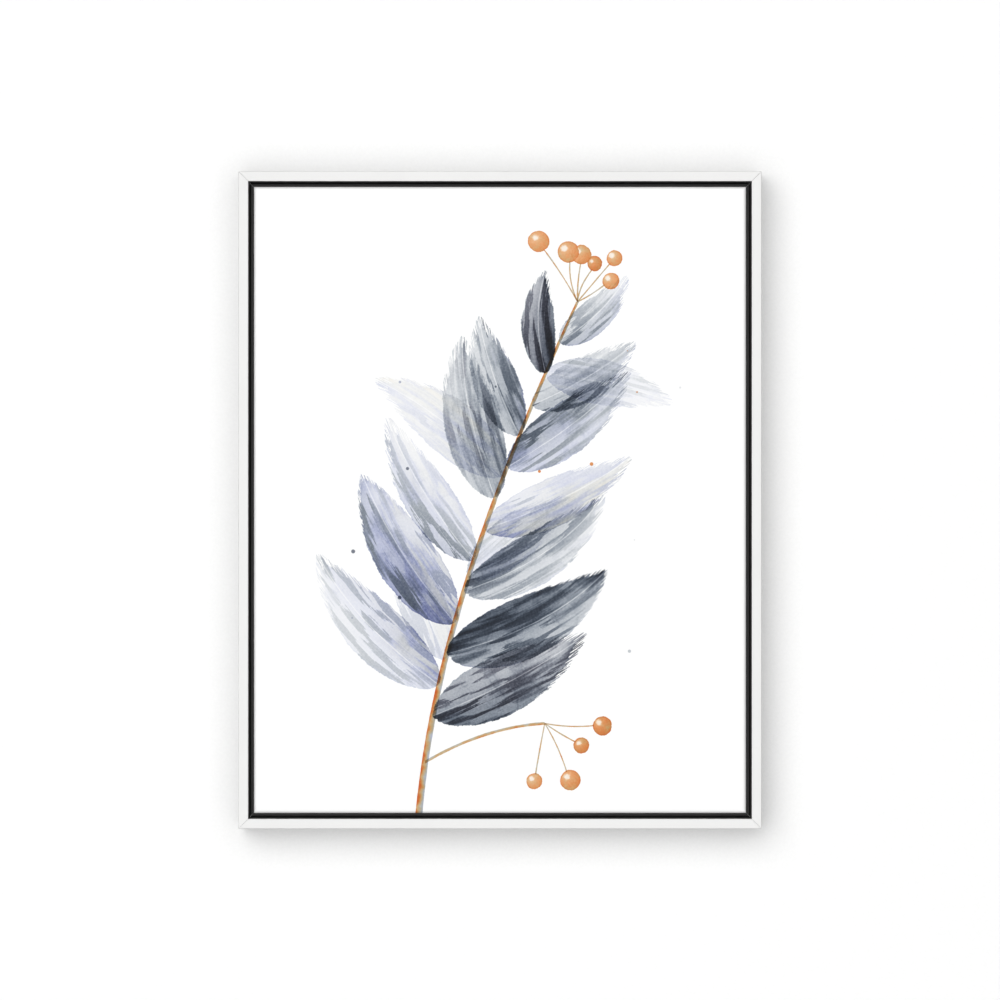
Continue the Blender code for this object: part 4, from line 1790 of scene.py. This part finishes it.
@dataclass
class Studio:
    """The white wall, the soft lights and the camera."""

    middle: Vector
    front: float
    half: tuple[float, float]
    wall_level: float = 0.6 * MM
    wall_size: float = 4.6
    wall_board: float = 4.0 * MM
    cover: float = 0.3 * MM
    shown_width: float = 1.135
    lens: float = 150.0
    ambient: float = 0.16
    backdrop: float = 0.80
    wall_tones: tuple[Colour, Colour] = ((0.89, 0.89, 0.887), (0.91, 0.91, 0.907))

    def build(self) -> None:
        """Makes the whole set."""
        self._wall()
        self._world()
        # The broad front light is stronger from the upper left, so that the picture's shadow falls the
        # other way.
        inward = Vector((0.0, 1.0, 0.0))
        self._light("front_panel", Vector((0.0, -36.0, 0.0)), inward, size=84.0, power=24600.0)
        self._light("key_panel", Vector((-24.0, -36.0, 24.0)), inward, size=48.0, power=13400.0)
        # These light the back, through the part of the wall that casts no shadow.
        above, below = Vector((0.9, 2.4, 2.6)), Vector((-1.8, 3.0, -1.2))
        self._light("back_softbox", above, -above, size=1.4, power=120.0)
        self._light("back_fill", below, -below, size=2.0, power=40.0)
        self._camera()
        bpy.context.scene.view_settings.view_transform = "Standard"
        bpy.context.scene.view_settings.look = "None"

    def _wall(self) -> None:
        """Makes the wall that the picture hangs on, which can be looked through from behind."""
        Bench.clear()
        wall_middle = (self.middle.x, self.wall_level, self.middle.z)
        bpy.ops.mesh.primitive_plane_add(size=self.wall_size, location=wall_middle, rotation=(QUARTER, 0, 0))
        wall = Bench.take("wall")
        # The wall is a board whose rim turns back from a rounded edge.
        Bench.pick(wall, "EDGE", lambda edge: True)
        bpy.ops.mesh.extrude_edges_move(TRANSFORM_OT_translate={"value": (0.0, self.wall_board, 0.0)})
        Bench.close()
        inside = self.wall_level + self.wall_board / 2
        rounding, inset = self.wall_board / 3, self.wall_size / 4
        Bench.round_edges(wall, lambda ends: all(end.y < inside for end in ends), rounding, 4)
        # The part hidden by the picture casts no shadow, so that the lights behind reach the back and the
        # rest of the wall keeps them off the frame's sides.
        Bench.pick(wall, "FACE", lambda face: face.area > 1.0)
        bpy.ops.mesh.inset(thickness=inset)
        inner = self.wall_size / 2 - rounding - inset
        across, up = ((side - self.cover) / inner for side in self.half)
        bpy.ops.transform.resize(value=(across, 1.0, up), center_override=wall_middle)
        bpy.ops.mesh.separate(type="SELECTED")
        Bench.close()
        hidden = next(piece for piece in bpy.context.selected_objects if piece != wall)
        hidden.name = hidden.data.name = "wall_hidden"
        hidden.visible_shadow = False
        Bench.tidy(wall)
        paint = self._wall_paint()
        for piece in (wall, hidden):
            Bench.dress(piece, paint)
            piece.visible_diffuse = piece.visible_glossy = False
            piece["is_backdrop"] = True

    def _wall_paint(self) -> bpy.types.Material:
        """Builds rolled white paint that is clear from behind.

        Returns:
            The material.
        """
        board = Board("wall_paint")
        roller = board.noise(board.here(), 3.0, detail=3.0)
        colour = board.blend(roller.rise(0.3, 0.7), *self.wall_tones)
        paint = board.node("ShaderNodeBsdfPrincipled", None, {
            "Base Color": colour, "Roughness": 0.9, "Specular IOR Level": 0.1,
            "Normal": board.bump(roller, 0.05 * MM, 0.3)})
        clear = board.node("ShaderNodeBsdfTransparent")
        behind = board.node("ShaderNodeNewGeometry", pick="Backfacing")
        seen = board.node("ShaderNodeMixShader", None, {0: behind, 1: paint, 2: clear})
        board.node("ShaderNodeOutputMaterial", None, {"Surface": seen})
        return board.material

    def _world(self) -> None:
        """Surrounds the set with even white light."""
        world = bpy.data.worlds.new("studio")
        bpy.context.scene.world = world
        board = Board("studio", world)
        seen = board.node("ShaderNodeLightPath", pick="Is Camera Ray")
        level = self.ambient + seen * (self.backdrop - self.ambient)
        light = board.node("ShaderNodeBackground", None, {"Color": (1.0, 1.0, 1.0, 1.0), "Strength": level})
        board.node("ShaderNodeOutputWorld", None, {"Surface": light})

    def _light(self, name: str, offset: Vector, facing: Vector, size: float, power: float) -> None:
        """Adds a softbox.

        Args:
            name: Its name.
            offset: Where it is from the picture's middle.
            facing: The way that it shines.
            size: Its side in metres.
            power: Its power in watts.
        """
        data = bpy.data.lights.new(name, "AREA")
        data.shape = "SQUARE"
        data.size, data.energy = size, power
        light = bpy.data.objects.new(name, data)
        light.location = self.middle + offset
        light.rotation_euler = facing.to_track_quat("-Z", "Y").to_euler()
        bpy.context.scene.collection.objects.link(light)

    def _camera(self) -> None:
        """Sets the camera straight in front, far off behind a long lens."""
        data = bpy.data.cameras.new("camera")
        data.lens = self.lens
        away = self.shown_width * self.lens / data.sensor_width
        camera = bpy.data.objects.new("camera", data)
        camera.location = (self.middle.x, self.front - away, self.middle.z)
        camera.rotation_euler = (QUARTER, 0.0, 0.0)
        bpy.context.scene.collection.objects.link(camera)
        bpy.context.scene.camera = camera


# ---------------------------------------------------------------- the whole

def settle(piece: bpy.types.Object, finish: bpy.types.Material | None = None) -> None:
    """Makes a finished piece part of the picture.

    Args:
        piece: The piece.
        finish: Its material, or None where it has its own already.
    """
    if finish:
        Bench.dress(piece, finish)
    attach(piece, BODY)
    LOG.info("made %s with %d faces", piece.name, len(piece.data.polygons))


def main() -> None:
    """Builds the dressed picture and its set."""
    logging.basicConfig(level=logging.INFO, format="%(message)s")
    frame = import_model()
    packed_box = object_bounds()
    canvas = Block(*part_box("canvas"))
    rail = Block(*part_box("rail_left"))
    outer = Block(rail.low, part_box("rail_right")[1])
    middle, front = canvas.middle, canvas.low.y

    zinc = ZincPlate().material()
    opening = tuple(side - 2 * rail.half[0] for side in outer.half)
    finishes = {
        "white": WhiteLacquer(opening, middle.z).material(),
        "black": BlackPaint().material(),
        "zinc": zinc,
        "rubber": BumperRubber().material(),
    }
    pine = {"pale": srgb("E6CFA6"), "ring": srgb("C79A63"), "knot": srgb("6B4426"), "ring_width": 3.4}
    beech = {"pale": srgb("D8B48C"), "ring": srgb("B98C62"), "knot": srgb("7A5334"), "ring_width": 2.0,
             "knotty": False}
    for name, look in (("pine", pine), ("beech", beech)):
        for grain in Grain:
            finishes[f"{name}_{grain.name.lower()}"] = BareWood(name, grain, **look).material()
    FrameDresser(frame["nodes"]).dress(finishes)

    sprig = Sprig(tuple(2 * side / MM for side in canvas.half))
    stretched = StretchedCloth(canvas)
    cloth, layers = stretched.build(sprig, RawCotton().material())
    primer = PrimedCotton()
    cloth.data.materials[0] = PrintedCotton(sprig, layers, middle.z, front, primer).material()
    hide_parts("canvas")
    settle(cloth)
    settle(CornerFolds(canvas).build(), primer.material())
    settle(Staples(canvas).build(), zinc)
    settle(MitreNails(outer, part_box("bed_top")[1].y).build(), zinc)

    Studio(middle, front, outer.half).build()
    dressed_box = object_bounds()
    boxes = {"cad": packed_box, "visual": dressed_box}
    {key: [list(corner) for corner in box] for key, box in boxes.items()}


if __name__ == "__main__":
    main()
